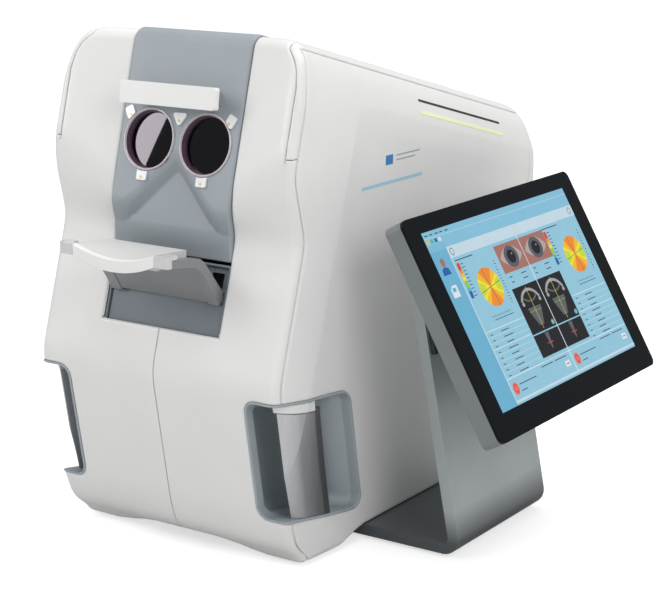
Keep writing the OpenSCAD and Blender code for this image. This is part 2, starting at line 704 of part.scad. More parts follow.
module x_carriage() color("Silver") difference() {
    union() {
        for (y = [-100, 90]) box([-50, y - 11, 261], [50, y + 11, 283]);
        box([-50, 100.5, 263], [50, 131, 290]);
        box([-50, -111, 283], [50, 101, 290]);
        // column for the lift
        box([-46, 64, 290], [46, 76, 405]);
        box([-46, 40, 290], [46, 64, 296]);
        box([-46, 40, 399], [46, 64, 405]);
    }
    for (y = [-100, 90]) translate([-60, y, 272]) rotate([0, 90, 0]) cylinder(r = 5.05, h = 120);
    translate([-60, 120, 272]) rotate([0, 90, 0]) cylinder(r = 4.05, h = 120);
    for (x = [-32, 32]) translate([x, 52, 280]) cylinder(r = 4, h = 140);
    translate([0, 52, 280]) cylinder(r = 3.05, h = 140);
}
module z_screw() color("Goldenrod") {
    translate([0, 52, 292]) cylinder(r = 3, h = 116);
    translate([0, 52, 405.3]) cylinder(r = 7, h = 4);
}
module optic_head() color("DimGray") {
    difference() {
        union() {
            box([-44, 38, 318], [44, 60, 380]);
            box([-38, -90, 334], [38, 38.8, 400]);
            translate([0, -90, face_z]) rotate([90, 0, 0]) cylinder(r = 17, h = 50);
        }
        for (x = [-32, 32]) translate([x, 52, 300]) cylinder(r = 4.05, h = 100);
        translate([0, 52, 300]) cylinder(r = 3.05, h = 100);
        translate([0, -80, face_z]) rotate([90, 0, 0]) cylinder(r = 14, h = 70);
    }
}
module z_rods() color("Silver") for (x = [-32, 32]) translate([x, 52, 290]) cylinder(r = 4, h = 115);
module head_lens() color([0.7, 0.85, 1, 0.4]) translate([0, -124, face_z]) rotate([90, 0, 0])
    cylinder(r = 14, h = 6);
module main_board() color("SeaGreen") {
    box([-80, 60, 60], [60, 180, 62]);
    for (x = [-60, -20, 20], y = [80, 130]) box([x, y, 62], [x + 24, y + 24, 66]);
    for (x = [-74, 52], y = [66, 172]) translate([x, y, 19.1]) cylinder(r = 4, h = 40.9);
}
module power_supply() color("Silver") box([-70, -120, 19.1], [-6, 20, 66]);
module fan_frame() color("Black") translate([-60, 0, 240]) difference() {
    box([-30, 214, -30], [30, 234, 30]);
    translate([0, 210, 0]) rotate([-90, 0, 0]) cylinder(r = 27.5, h = 14);
    for (a = [0 : 60 : 300]) rotate([0, a, 0]) box([-4.6, 205, 12.5], [4.6, 245, 25]);
    translate([0, 210, 0]) rotate([-90, 0, 0]) cylinder(r = 3.05, h = 20);
}
module fan_rotor() color("DarkSlateGray") translate([-60, 0, 240]) {
    translate([0, 215, 0]) rotate([-90, 0, 0]) cylinder(r = 10, h = 8);
    translate([0, 215, 0]) rotate([-90, 0, 0]) cylinder(r = 3, h = 14);
    for (a = [0 : 60 : 300]) rotate([0, a, 0]) intersection() {
        translate([8, 219, 0]) rotate([35, 0, 0]) cube([18, 1.6, 14], center = false);
        rotate([-90, 0, 0]) cylinder(r = 26, h = 400);
        box([-40, 215, -40], [40, 223, 40]);
    }
}
module power_inlet() color("Black") {
    difference() {
        box([56.2, 224, 54.5], [110, 245, 81.5]);
        box([60, 230, 60], [82, 260, 76]);
        box([93.2, 228, 56.4], [107.8, 260, 79.6]);
        translate([90, 239, 68]) rotate([0, 90, 0]) cylinder(r = 1.65, h = 22);
    }
    // contact pins
    for (q = [[65, 66], [71, 70], [77, 66]]) box([q[0] - 1, 229, q[1] - 2], [q[0] + 1, 241, q[1] + 2]);
}
module rocker_switch() color("Black") union() {
    along_x([[235, 59], [245.5, 58.4], [244.4, 68], [247.6, 77.6], [235, 77]], 93.9, 107.1);
    translate([92.2, 239, 68]) rotate([0, 90, 0]) cylinder(r = 1.6, h = 16.6);
}
module data_ports() color("DimGray") difference() {
    box([-79.8, 228, 56.2], [-20.2, 244.4, 73.8]);
    for (x = [-76, -60, -44]) box([x, 234, 60], [x + 12, 260, 66]);
    box([-30, 234, 58], [-22, 260, 70]);
}

// ---------------------------------------------------------------- assembly
base_plate();
foot_pods();
foot_pads();
shell_side(-1);  // shell_left
shell_side(1);  // shell_right
front_cover(-1);  // front_cover_left
front_cover(1);  // front_cover_right
edge_band(-1);  // edge_band_left
edge_band(1);  // edge_band_right
top_cover();
rear_cover();
face_panel();
eye_ring(-1);  // eye_ring_left
eye_ring(1);  // eye_ring_right
eye_glass(-1);  // eye_glass_left
eye_glass(1);  // eye_glass_right
lamp_pads();
lamp_dots();
forehead_holder();
forehead_rest();
chin_well();
chin_bracket();
chin_band();
chin_tabs();
chin_cup();
chin_apron();
chin_carriage();
chin_rods();
chin_screw();
grip_liner(-1);  // grip_liner_left
grip_liner(1);  // grip_liner_right
grip_bars();
grip_caps();
vent_strips();
light_guides();
accent_stripe();
stand_strip();
stand_pads();
stand_bolts();
tilt_base();
tilt_pin();
tilt_arm();
display_back();
display_bezel();
display_screen();
optic_frame();
x_rods();
x_screw();
x_carriage();
z_rods();
optic_head();
head_lens();
z_screw();
main_board();
power_supply();
fan_frame();
fan_rotor();
power_inlet();
rocker_switch();
data_ports();
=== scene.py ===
"""Looks of the desktop eye-measuring unit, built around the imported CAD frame.

The housing is a smooth field (negative inside) that is meshed, split along its seams and
given rolled edges; the other pieces are smaller fields, turned rings and thin plates.
Shapes are in millimetres in the frame's own axes; meshes are made in metres.
"""
import math
from collections import namedtuple
import bpy
import numpy as np
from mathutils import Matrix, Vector


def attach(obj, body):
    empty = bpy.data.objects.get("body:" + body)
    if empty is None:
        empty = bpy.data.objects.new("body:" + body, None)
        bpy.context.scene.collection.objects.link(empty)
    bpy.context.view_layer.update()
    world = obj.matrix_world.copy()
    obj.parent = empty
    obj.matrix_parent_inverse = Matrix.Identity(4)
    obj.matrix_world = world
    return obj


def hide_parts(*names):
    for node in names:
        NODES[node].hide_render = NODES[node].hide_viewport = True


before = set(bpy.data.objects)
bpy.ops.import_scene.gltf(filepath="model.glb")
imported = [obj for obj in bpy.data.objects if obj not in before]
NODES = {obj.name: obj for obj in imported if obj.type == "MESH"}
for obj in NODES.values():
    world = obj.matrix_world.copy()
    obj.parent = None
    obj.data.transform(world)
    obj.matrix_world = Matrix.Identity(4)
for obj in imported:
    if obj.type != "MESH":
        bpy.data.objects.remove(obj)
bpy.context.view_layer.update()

MM = 0.001
SIDES = ((-1, "left"), (1, "right"))
EYE = (1.0360, -1.4809, 0.6390)          # the camera's place, metres
WHITE = (1.0, 1.0, 1.0, 1)


# ---- shader helpers
def add_node(tree, kind, **values):
    """New shader node; a keyword is a socket's name, with _ for a space."""
    node = tree.nodes.new("ShaderNode" + kind)
    for name, value in values.items():
        node.inputs[name.replace("_", " ")].default_value = value
    return node


def wire(tree, *pairs):
    for source, target in pairs:
        tree.links.new(source, target)


def set_ramp(ramp, low, high):
    ramp.color_ramp.elements[0].color = (*low, 1)
    ramp.color_ramp.elements[1].color = (*high, 1)


# ---- camera and light
def camera():
    cam = bpy.data.cameras.new("camera")
    cam.lens, cam.sensor_width, cam.clip_end = 99.54, 36.0, 20.0
    obj = bpy.data.objects.new("camera", cam)
    obj.location = EYE
    obj.rotation_euler = (math.radians(76.2), 0.0, math.radians(34.0))
    bpy.context.scene.collection.objects.link(obj)
    bpy.context.scene.camera = obj


def area_light(name, place, aim, size, power):
    lamp = bpy.data.lights.new(name, "AREA")
    lamp.shape, lamp.size, lamp.size_y = "RECTANGLE", size[0], size[1]
    lamp.energy = power
    obj = bpy.data.objects.new(name, lamp)
    obj.location = place
    obj.rotation_euler = (Vector(aim) - Vector(place)).to_track_quat("-Z", "Y").to_euler()
    bpy.context.scene.collection.objects.link(obj)


def studio():
    """Soft lights in a world that is white to the camera and dimmer in reflections."""
    scene = bpy.context.scene
    scene.view_settings.view_transform = "Standard"
    scene.world = bpy.data.worlds.new("studio")
    scene.world.use_nodes = True
    nt = scene.world.node_tree
    around = nt.nodes["Background"]
    around.inputs["Color"].default_value = WHITE
    around.inputs["Strength"].default_value = 0.64
    seen = add_node(nt, "Background", Color=WHITE, Strength=1.0)
    dim = add_node(nt, "Background", Color=WHITE, Strength=0.30)
    path, mix, gloss = (add_node(nt, kind) for kind in ("LightPath", "MixShader", "MixShader"))
    wire(nt, (path.outputs["Is Glossy Ray"], gloss.inputs["Fac"]),
         (around.outputs[0], gloss.inputs[1]), (dim.outputs[0], gloss.inputs[2]),
         (path.outputs["Is Camera Ray"], mix.inputs["Fac"]),
         (gloss.outputs[0], mix.inputs[1]), (seen.outputs[0], mix.inputs[2]),
         (mix.outputs[0], nt.nodes["World Output"].inputs["Surface"]))
    area_light("key", (-1.6, -2.4, 2.2), (0, -0.1, 0.3), (1.6, 1.2), 23)
    area_light("top", (0.5, 0.5, 2.8), (0.1, 0, 0.1), (2.4, 2.4), 40)
    area_light("fill", (2.6, -1.2, 1.7), (0, 0, 0.25), (1.4, 1.4), 19)


# ---- mesh helpers
def link(obj):
    bpy.context.scene.collection.objects.link(obj)
    return obj


def make_mesh(name, verts_mm, faces, mats, smooth_angle=35.0, normals=None, index=None):
    """Linked mesh object; normals are per face corner, index is a material per face."""
    me = bpy.data.meshes.new(name)
    if isinstance(faces, np.ndarray):
        nf, k = faces.shape
        me.vertices.add(len(verts_mm))
        me.vertices.foreach_set("co", (np.asarray(verts_mm) * MM).astype(np.float32).ravel())
        me.loops.add(nf * k)
        me.loops.foreach_set("vertex_index", faces.astype(np.int32).ravel())
        me.polygons.add(nf)
        me.polygons.foreach_set("loop_start", np.arange(0, nf * k, k, dtype=np.int32))
        me.update(calc_edges=True)
    else:
        me.from_pydata([tuple(float(c) * MM for c in v) for v in verts_mm], [], faces)
    me.validate(clean_customdata=False)
    for m in mats if isinstance(mats, (list, tuple)) else [mats]:
        me.materials.append(m)
    if index is not None:
        me.polygons.foreach_set("material_index", np.asarray(index, dtype=np.int32))
    me.shade_smooth()
    if normals is not None:
        me.normals_split_custom_set(normals)
    else:
        me.set_sharp_from_angle(angle=math.radians(smooth_angle))
    return link(bpy.data.objects.new(name, me))


def modifier(obj, kind, **values):
    m = obj.modifiers.new(kind.lower(), kind)
    for k, v in values.items():
        setattr(m, k, v)


def place(piece, body, slot, *replaced):
    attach(piece, body)
    if replaced:
        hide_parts(*replaced)


def to_side(sign, lo, hi):
    """The box, mirrored to the left where the sign is negative."""
    a, b = sign * lo[0], sign * hi[0]
    return (min(a, b), *lo[1:]), (max(a, b), *hi[1:])


# ---- materials
def new_material(name):
    m = bpy.data.materials.new(name)
    m.use_nodes = True
    return m, m.node_tree, m.node_tree.nodes["Principled BSDF"]


def material(name, color, rough=0.45, metal=0.0, coat=0.0, grain=0.0, grain_scale=900.0,
             mottle=0.03, mottle_scale=22.0, rough_var=0.05, spec=0.5, aniso=0.0,
             stretch=(1, 1, 1), emit=0.0):
    """Moulded or painted surface: colour mottling, roughness variation and a fine grain bump."""
    m, nt, b = new_material(name)
    for socket, value in (("Metallic", metal), ("Coat Weight", coat),
                          ("Specular IOR Level", spec), ("Anisotropic", aniso)):
        b.inputs[socket].default_value = value
    coord, ramp = add_node(nt, "TexCoord"), add_node(nt, "ValToRGB")
    mapped = add_node(nt, "Mapping", Scale=stretch)
    blotch = add_node(nt, "TexNoise", Scale=mottle_scale, Detail=4.0)
    fine = add_node(nt, "TexNoise", Scale=grain_scale, Detail=3.0)
    gloss = add_node(nt, "MapRange", To_Min=max(rough - rough_var, 0.02),
                     To_Max=min(rough + rough_var, 1))
    ramp.color_ramp.elements[0].position, ramp.color_ramp.elements[1].position = 0.3, 0.7
    set_ramp(ramp, [max(c * (1 - mottle), 0) for c in color], [min(c * (1 + mottle), 1) for c in color])
    wire(nt, (coord.outputs["Object"], mapped.inputs["Vector"]),
         (mapped.outputs[0], blotch.inputs["Vector"]), (mapped.outputs[0], fine.inputs["Vector"]),
         (blotch.outputs["Fac"], ramp.inputs["Fac"]), (ramp.outputs["Color"], b.inputs["Base Color"]),
         (fine.outputs["Fac"], gloss.inputs["Value"]), (gloss.outputs[0], b.inputs["Roughness"]))
    if grain > 0:
        bump = add_node(nt, "Bump", Strength=grain, Distance=0.0004)
        wire(nt, (fine.outputs["Fac"], bump.inputs["Height"]), (bump.outputs[0], b.inputs["Normal"]))
    if emit:
        wire(nt, (ramp.outputs["Color"], b.inputs["Emission Color"]))
        b.inputs["Emission Strength"].default_value = emit
    return m


MAT = {
    "white": material("cover_white", (0.80, 0.80, 0.79), 0.42, grain=0.05, mottle=0.012, coat=0.08),
    "panel": material("panel_grey", (0.335, 0.375, 0.405), 0.48, grain=0.09),
    "grip": material("grip_grey", (0.35, 0.395, 0.425), 0.42, grain=0.08, coat=0.1),
}

# ---- body form as a distance field
# outlines: (y, z) on the middle and corner of the front and on the rear, (drop, x) on the roof
FRONT_KNOTS = ((-190, 6), (-196, 12), (-206, 17), (-213, 27), (-219.5, 48), (-240.5, 167), (-241, 176),
               (-240, 184), (-205.3, 294.5), (-190, 343), (-160, 438), (-120, 560))
CORNER_KNOTS = FRONT_KNOTS[:9] + ((-203.8, 302), (-204.5, 309), (-216.9, 355), (-217.7, 360.5),
                                  (-217, 366), (-190.7, 456), (-180, 492), (-160, 560))
REAR_KNOTS = ((226, 0), (229, 12), (236, 18), (241, 30), (247, 120), (248, 255), (245, 300),
              (238, 335), (224, 372), (205, 400), (180, 430))
ROOF_KNOTS = ((1.3, 0), (1.3, 60), (0, 100), (-2.2, 112), (-6.2, 119), (-12, 124.5), (-20, 129),
              (-47, 140.5), (-75, 146))
Z_GRID = np.arange(-20.0, 580.0, 1.0)
X_GRID = np.arange(0.0, 150.0, 0.5)
ROOF_Y, ROOF_Z, ROOF_SLOPE, ROOF_COS = -168, 476, 0.2595, 0.968     # plane that falls to the rear
CHEST_SLOPE, CHEST_COS = 0.3142, 0.954                              # lean of the upper chest
SIDE_X, SIDE_FLARE, SIDE_MAX = 136.2, 0.086, 140.5      # side: at the corner, opening to the rear
RECESS, RECESS_FADE = 6.0, 20.0                         # soft recess of the side
BOTTOM_Z, LOWER_BY = 12, 8.6                            # underside, and how much its corners drop


def smooth_table(knots, grid, spread):
    """Values and slopes on a grid through (value, place) knots, rounded over about `spread`."""
    k, half = np.array(knots, float), 40
    v = np.interp(grid, k[:, 1], k[:, 0])
    w = np.exp(-0.5 * (np.arange(-half, half + 1) * (grid[1] - grid[0]) / spread) ** 2)
    w /= w.sum()
    v = np.convolve(np.pad(v, half, mode="reflect", reflect_type="odd"), w, "valid")
    return v, np.gradient(v, grid)


CHEST = smooth_table(FRONT_KNOTS, Z_GRID, 5.0)
CORNER = smooth_table(CORNER_KNOTS, Z_GRID, 6.0)
REAR = smooth_table(REAR_KNOTS, Z_GRID, 7.0)
ROOF = smooth_table(ROOF_KNOTS, X_GRID, 2.2)


def rmax(a, b, r):
    """Larger of two distances, with the crease between them rounded to radius r."""
    return np.minimum(np.maximum(a, b), -r) + np.hypot(np.maximum(a + r, 0), np.maximum(b + r, 0))


def rmin(a, b, r):
    return -rmax(-a, -b, r)


def look_up(table, grid, q):
    return np.interp(q, grid, table[0]), np.interp(q, grid, table[1])


def step_up(t):
    """Smooth step from 0 to 1."""
    t = np.clip(t, 0, 1)
    return t * t * (3 - 2 * t)


def roof_height(y, z):
    """Height above the plane of the roof."""
    return z - ROOF_Z + ROOF_SLOPE * (y - ROOF_Y)


def behind_corner(y, z):
    """How far behind the corner outline, along Y."""
    return y - np.interp(z, Z_GRID, CORNER[0])


def arch(y, z):
    """Distance inside the outline of the side's soft recess."""
    front = (y + 184 - CHEST_SLOPE * (z - 184)) * CHEST_COS
    top = (-roof_height(y, z) - 46) * ROOF_COS
    return -rmax(-front, -top, 26)


def off_line(y, table, z):
    """How far a point lies in front of an outline, across it."""
    at, slope = look_up(table, Z_GRID, z)
    return (at - y) / np.sqrt(1 + slope * slope)


def body(x, y, z):
    """About the signed distance to the outer skin, negative inside."""
    x = np.abs(x)
    # the front leans back over the brow and in again under it; both planes turn with x
    brow = (-0.25 * x - y + 0.28 * z - 286.4) / 1.068
    under = (0.0875 * x - y - 0.272 * z - 131.37) / 1.040
    front = rmin(rmax(brow, under, 17), off_line(y, CHEST, z), 14)
    front = rmax(front, off_line(y, CORNER, z), 3)
    side = rmax((x - SIDE_X - (behind_corner(y, z) - 10) * SIDE_FLARE) / 1.004, x - SIDE_MAX, 2)
    inside = np.maximum(arch(y, z), 0)
    side = side + RECESS * (1 - np.exp(-inside / RECESS_FADE))
    drop, slope = look_up(ROOF, X_GRID, x)
    roof = (roof_height(y, z) - drop) * ROOF_COS / np.sqrt(1 + (slope * ROOF_COS) ** 2)
    lowered = step_up((x - 30) / 62) * (1 - step_up((x - 133) / 12)) * \
        (step_up((-96 - y) / 44) + step_up((y - 150) / 40))
    bottom = BOTTOM_Z - LOWER_BY * lowered - z
    f = rmax(front, side, 8)
    f = rmax(f, -off_line(y, REAR, z), 26)
    f = rmax(f, roof, 12)
    return rmax(f, bottom, 5)


def gradient(field, p, e=0.25):
    g = np.empty_like(p)
    for a in range(3):
        d = np.zeros(3)
        d[a] = e
        q0, q1 = p - d, p + d
        g[:, a] = (field(*q1.T) - field(*q0.T)) / (2 * e)
    return g


def unit(v):
    return v / np.maximum(np.linalg.norm(v, axis=1, keepdims=True), 1e-9)


def surface_net(field, lo, hi, step):
    """Closed quad surface of field = 0 on a grid, as (points, quads)."""
    lo, hi = np.array(lo, float), np.array(hi, float)
    n = np.ceil((hi - lo) / step).astype(int) + 1
    v = field(*np.meshgrid(*(lo[a] + step * np.arange(n[a]) for a in range(3)), indexing="ij"))
    s = v < 0
    corners = [(i, j, k) for i in (0, 1) for j in (0, 1) for k in (0, 1)]
    cells = sum(s[i:n[0] - 1 + i, j:n[1] - 1 + j, k:n[2] - 1 + k].astype(int) for i, j, k in corners)
    act = np.argwhere((cells > 0) & (cells < 8))
    ident = -np.ones(n - 1, int)
    ident[tuple(act.T)] = np.arange(len(act))
    # each cell's point is the mean of the crossings on its edges
    total, count = np.zeros((len(act), 3)), np.zeros(len(act))
    for c, a in ((c, a) for c in corners for a in range(3) if not c[a]):
        along = np.eye(3, dtype=int)[a]
        va, vb = v[tuple((act + c).T)], v[tuple((act + c + along).T)]
        cross = (va < 0) != (vb < 0)
        t = np.where(cross, va / np.where(cross, va - vb, 1), 0)
        total += (c + t[:, None] * along) * cross[:, None]
        count += cross
    quads = []
    for a in range(3):
        b, c = (a + 1) % 3, (a + 2) % 3
        near = [slice(1, n[k] - 1) for k in range(3)]
        far = list(near)
        near[a], far[a] = slice(0, n[a] - 1), slice(1, n[a])
        s0, s1 = s[tuple(near)], s[tuple(far)]
        at = np.argwhere(s0 != s1)
        inside = s0[tuple(at.T)]
        rows = []
        for db, dc in ((0, 0), (1, 0), (1, 1), (0, 1)):
            q = at.copy()
            q[:, b] += db
            q[:, c] += dc
            rows.append(ident[tuple(q.T)])
        rows = np.stack(rows, 1)
        rows[~inside] = rows[~inside][:, ::-1]
        quads.append(rows)
    return lo + step * (act + total / count[:, None]), np.vstack(quads)


def project(field, p, rounds=3, limit=2.0):
    """Points moved onto field = 0, along its gradient."""
    for _ in range(rounds):
        g = gradient(field, p)
        f = field(*p.T)
        stepv = f[:, None] * g / np.maximum((g * g).sum(1, keepdims=True), 1e-6)
        size = np.linalg.norm(stepv, axis=1, keepdims=True)
        p = p - stepv * np.minimum(1, limit / np.maximum(size, 1e-9))
    return p


def split(p, tri, func, level, snap=0.35, region=None):
    """Cuts the triangles along func = level, moving points that are nearly on it."""
    f = func(*p.T) - level
    ok = np.ones(len(p), bool) if region is None else region(*p.T)
    near = (np.abs(f) < snap) & ok
    if near.any():
        g = gradient(func, p[near], 0.05)
        nrm = unit(gradient(body, p[near]))
        g = g - (g * nrm).sum(1, keepdims=True) * nrm
        steep = (g * g).sum(1)
        move = f[near][:, None] * g / np.maximum(steep, 0.2)[:, None]
        p[near] -= np.where((steep > 0.2)[:, None], move, 0)
        f = func(*p.T) - level
        f[near & (np.abs(f) < 0.02)] = 0
    sides = np.sign(f).astype(int)[tri]
    crossing = (sides.max(1) > 0) & (sides.min(1) < 0) & ok[tri].any(1)
    if not crossing.any():
        return p, tri
    edges, plan = [], []
    for row, sign in zip(tri[crossing], sides[crossing]):
        on_line = 0 in sign          # one corner on the line, or one corner alone on its side
        k = int(np.argmin(np.abs(sign)) if on_line else np.argmax(sign != np.sign(sign.sum())))
        a, b, c = row[k], row[(k + 1) % 3], row[(k + 2) % 3]
        plan.append((on_line, len(edges), a, b, c))
        edges += [(b, c)] if on_line else [(a, b), (a, c)]
    ends, back = np.unique(np.sort(np.array(edges), axis=1), axis=0, return_inverse=True)
    back = len(p) + back.ravel()
    fa, fb = f[ends[:, 0]], f[ends[:, 1]]
    w = (fa / (fa - fb))[:, None]
    new_points = p[ends[:, 0]] * (1 - w) + p[ends[:, 1]] * w
    new_tri = []
    for on_line, i, a, b, c in plan:
        m = back[i]
        if on_line:
            new_tri += [(a, b, m), (a, m, c)]
        else:
            o = back[i + 1]
            new_tri += [(a, m, o), (m, b, c), (m, c, o)]
    return np.vstack([p, new_points]), np.vstack([tri[~crossing], np.array(new_tri)])


# ---- seams and openings
SEAM_D, PANEL_X = 11.4, 67.3        # corner seam behind the corner; half width of the panel's hole
BAND_DROP, BAND_X = 9, 112          # edge band: below the roof plane, and outwards from
LID_Y, REAR_Y, STRIP_FOOT = -149.75, 215, 378
STRIP_Z = (370, 378, 438, 452, 461, 469.5, 560)
STRIP_X = (127.5, 127.5, 127.5, 125, 120.5, 112, 100)


def strip_line(x, y, z):
    return x - np.interp(z, STRIP_Z, STRIP_X)


def grip_depth(y, z):
    """Depth into the body, measured across the leaning bar of the grip."""
    return (y + 220.6) * 0.985 + (z - 54) * 0.174


def grip_box(x, y, z):
    """About the distance to the finger space of the grip: its mouth and the wider pocket behind."""
    u = grip_depth(y, z)
    wall = np.interp(x, (103.5, 106, 114, 127, 140, 190), (40, 74, 97, 111, 115, 115))
    plan = rmax(103.5 - x, (u - wall) * 0.8, 3)
    inner = np.interp(x, (90, 97, 108, 126, 131), (62, 84, 97, 104, 60))
    deep = rmax(rmax(90 - x, 12 - u, 8), (u - inner) * 0.75, 6)
    deep = np.maximum(deep, x - 130)
    low = 54 + np.interp(y, (-240, -224, -123, -90), (2.0, 0.0, -16.0, -18.0)) - z
    high = z - 165 - np.interp(y, (-238, -127.5, -90), (0.0, -13.0, -16.0))
    mouth = rmax(rmax(plan, low, 10), high, 10)
    pocket = rmax(rmax(deep, low + 3, 10), high + 3, 10)
    return rmin(mouth, pocket, 3)


Cut = namedtuple("Cut", "name line where gap lip depth steps snap")
SIGNED = ("mid", "foot", "inlet", "ports")      # these see the sign of x, the others both sides


def both(name, func):
    return func if name in SIGNED else lambda x, y, z: func(np.abs(x), y, z)


def seam(name, line, where, gap, lip, depth):
    """Gap between covers along line = 0, with lips that roll in over `lip` to `depth`."""
    steps = [gap, gap + 0.35 * lip, gap + lip]
    return Cut(name, both(name, line), both(name, where), gap, lip, depth,
               [-s for s in reversed(steps)] + steps, 0.3)


def opening(name, line, where, lip, depth):
    """Hole in the skin where the line function is negative."""
    return Cut(name, both(name, line), both(name, where), 0.0, lip, depth,
               [share * lip for share in (0.0, 0.12, 0.45, 1.0)], 0.12 if lip <= 1 else 0.3)


SEAMS = [
    seam("mid", lambda x, y, z: x, lambda x, y, z: (y < -150) & (z < 217), 0.35, 1.8, 0.9),
    seam("corner", lambda x, y, z: behind_corner(y, z) - SEAM_D,
         lambda x, y, z: (x > 104) & (z < 470) & (y < -120), 0.4, 3.8, 1.9),
    seam("strip", strip_line,
         lambda x, y, z: (z > 374) & (behind_corner(y, z) < SEAM_D + 4) & (y < -150), 0.4, 3.4, 1.7),
    seam("cut", lambda x, y, z: z - STRIP_FOOT,
         lambda x, y, z: (x > 126) & (y < -170) & (behind_corner(y, z) < SEAM_D), 0.3, 1.4, 0.7),
    seam("band", lambda x, y, z: (roof_height(y, z) + BAND_DROP) * ROOF_COS,
         lambda x, y, z: (x > 100) & (behind_corner(y, z) > SEAM_D - 1), 0.4, 2.0, 0.9),
    seam("roof", lambda x, y, z: x - BAND_X,
         lambda x, y, z: (roof_height(y, z) > -BAND_DROP) & (y > -178), 0.3, 1.6, 0.7),
    seam("rear", lambda x, y, z: y - REAR_Y, lambda x, y, z: y > 150, 0.35, 2.0, 1.0),
    seam("lid", lambda x, y, z: y - LID_Y,
         lambda x, y, z: (roof_height(y, z) > -BAND_DROP) & (x < BAND_X) & (x > 60), 0.3, 1.6, 0.7),
]


def frame_line(a, half_a, b, half_b):
    """Outline of a rectangle in two directions."""
    return np.maximum(np.abs(a) - half_a, np.abs(b) - half_b)


OPENINGS = [
    # the front above the sill, and the roof as far back as the panel goes
    opening("face", lambda x, y, z: np.maximum(np.maximum(x - PANEL_X, (216.0 - z) * 0.95), y + 39.4),
            lambda x, y, z: (y < -30) & (z > 200), 3.0, 2.0),
    opening("grip", lambda x, y, z: grip_box(x, y, z) - 2.4,
            lambda x, y, z: (x > 90) & (y < -80) & (z < 190), 2.0, 1.0),
    # the stand's foot passes under the right side
    opening("foot", lambda x, y, z: np.maximum(np.abs(y + 10.75) - 85.6, z - 14.8),
            lambda x, y, z: (x > 100) & (z < 24) & (np.abs(y + 10.75) < 95), 1.0, 0.4),
    opening("inlet", lambda x, y, z: frame_line(x - 83.1, 26.2, z - 68, 12.9),
            lambda x, y, z: (y > 224) & (x > 48) & (x < 118) & (z > 46) & (z < 90), 0.8, 0.3),
    opening("ports", lambda x, y, z: frame_line(x + 50, 29.1, z - 65, 8.1),
            lambda x, y, z: (y > 224) & (x > -88) & (x < -12) & (z > 46) & (z < 84), 0.8, 0.3),
]


camera()
studio()


def lips(p, n, cuts):
    """How far the skin turns in beside each cut, and how its normal leans."""
    depth, tilt = np.zeros(len(p)), np.zeros_like(p)
    for cut in cuts:
        s = cut.line(*p.T)
        u = (np.abs(s) - cut.gap) / cut.lip
        on = (u < 1) & cut.where(*p.T)
        if not on.any():
            continue
        t = 1 - np.clip(u[on], 0, 1)
        root = np.sqrt(np.maximum(1 - t * t, 0.04))
        h = cut.depth * (1 - np.sqrt(np.maximum(1 - t * t, 0)))
        g = gradient(cut.line, p[on], 0.05)
        g = unit(g - (g * n[on]).sum(1, keepdims=True) * n[on])
        lean = -np.sign(s[on])[:, None] * g * (cut.depth / cut.lip * t / root)[:, None]
        more = h > depth[on]
        depth[on] = np.where(more, h, depth[on])
        tilt[on] = np.where(more[:, None], lean, tilt[on])
    return depth, tilt


def skin_piece(name, skin, tri, thick, mat):
    """Closed shell from part of the skin: outer face, inner face and rim."""
    used, flat = np.unique(tri, return_inverse=True)
    tri = flat.reshape(-1, 3)
    tri = tri[(tri[:, 0] != tri[:, 1]) & (tri[:, 1] != tri[:, 2]) & (tri[:, 0] != tri[:, 2])]
    k = len(used)
    base, normal, outer, lean = (part[used] for part in skin)
    e = np.vstack([tri[:, [0, 1]], tri[:, [1, 2]], tri[:, [2, 0]]])
    code = e[:, 0].astype(np.int64) * k + e[:, 1]
    reverse = e[:, 1].astype(np.int64) * k + e[:, 0]
    a, b = e[~np.isin(code, reverse)].T
    r1, r2 = np.stack([b, a, a + k], 1), np.stack([b, a + k, b + k], 1)
    verts = np.vstack([outer, base - normal * thick])
    rim_normal = unit(np.cross(verts[r1[:, 1]] - verts[r1[:, 0]], verts[r1[:, 2]] - verts[r1[:, 0]]))
    rim_loops = np.repeat(rim_normal, 3, 0)
    loops = np.vstack([lean[tri.ravel()], -normal[tri[:, ::-1].ravel()], rim_loops, rim_loops])
    return make_mesh(name, verts, np.vstack([tri, tri[:, ::-1] + k, r1, r2]), mat, normals=loops)


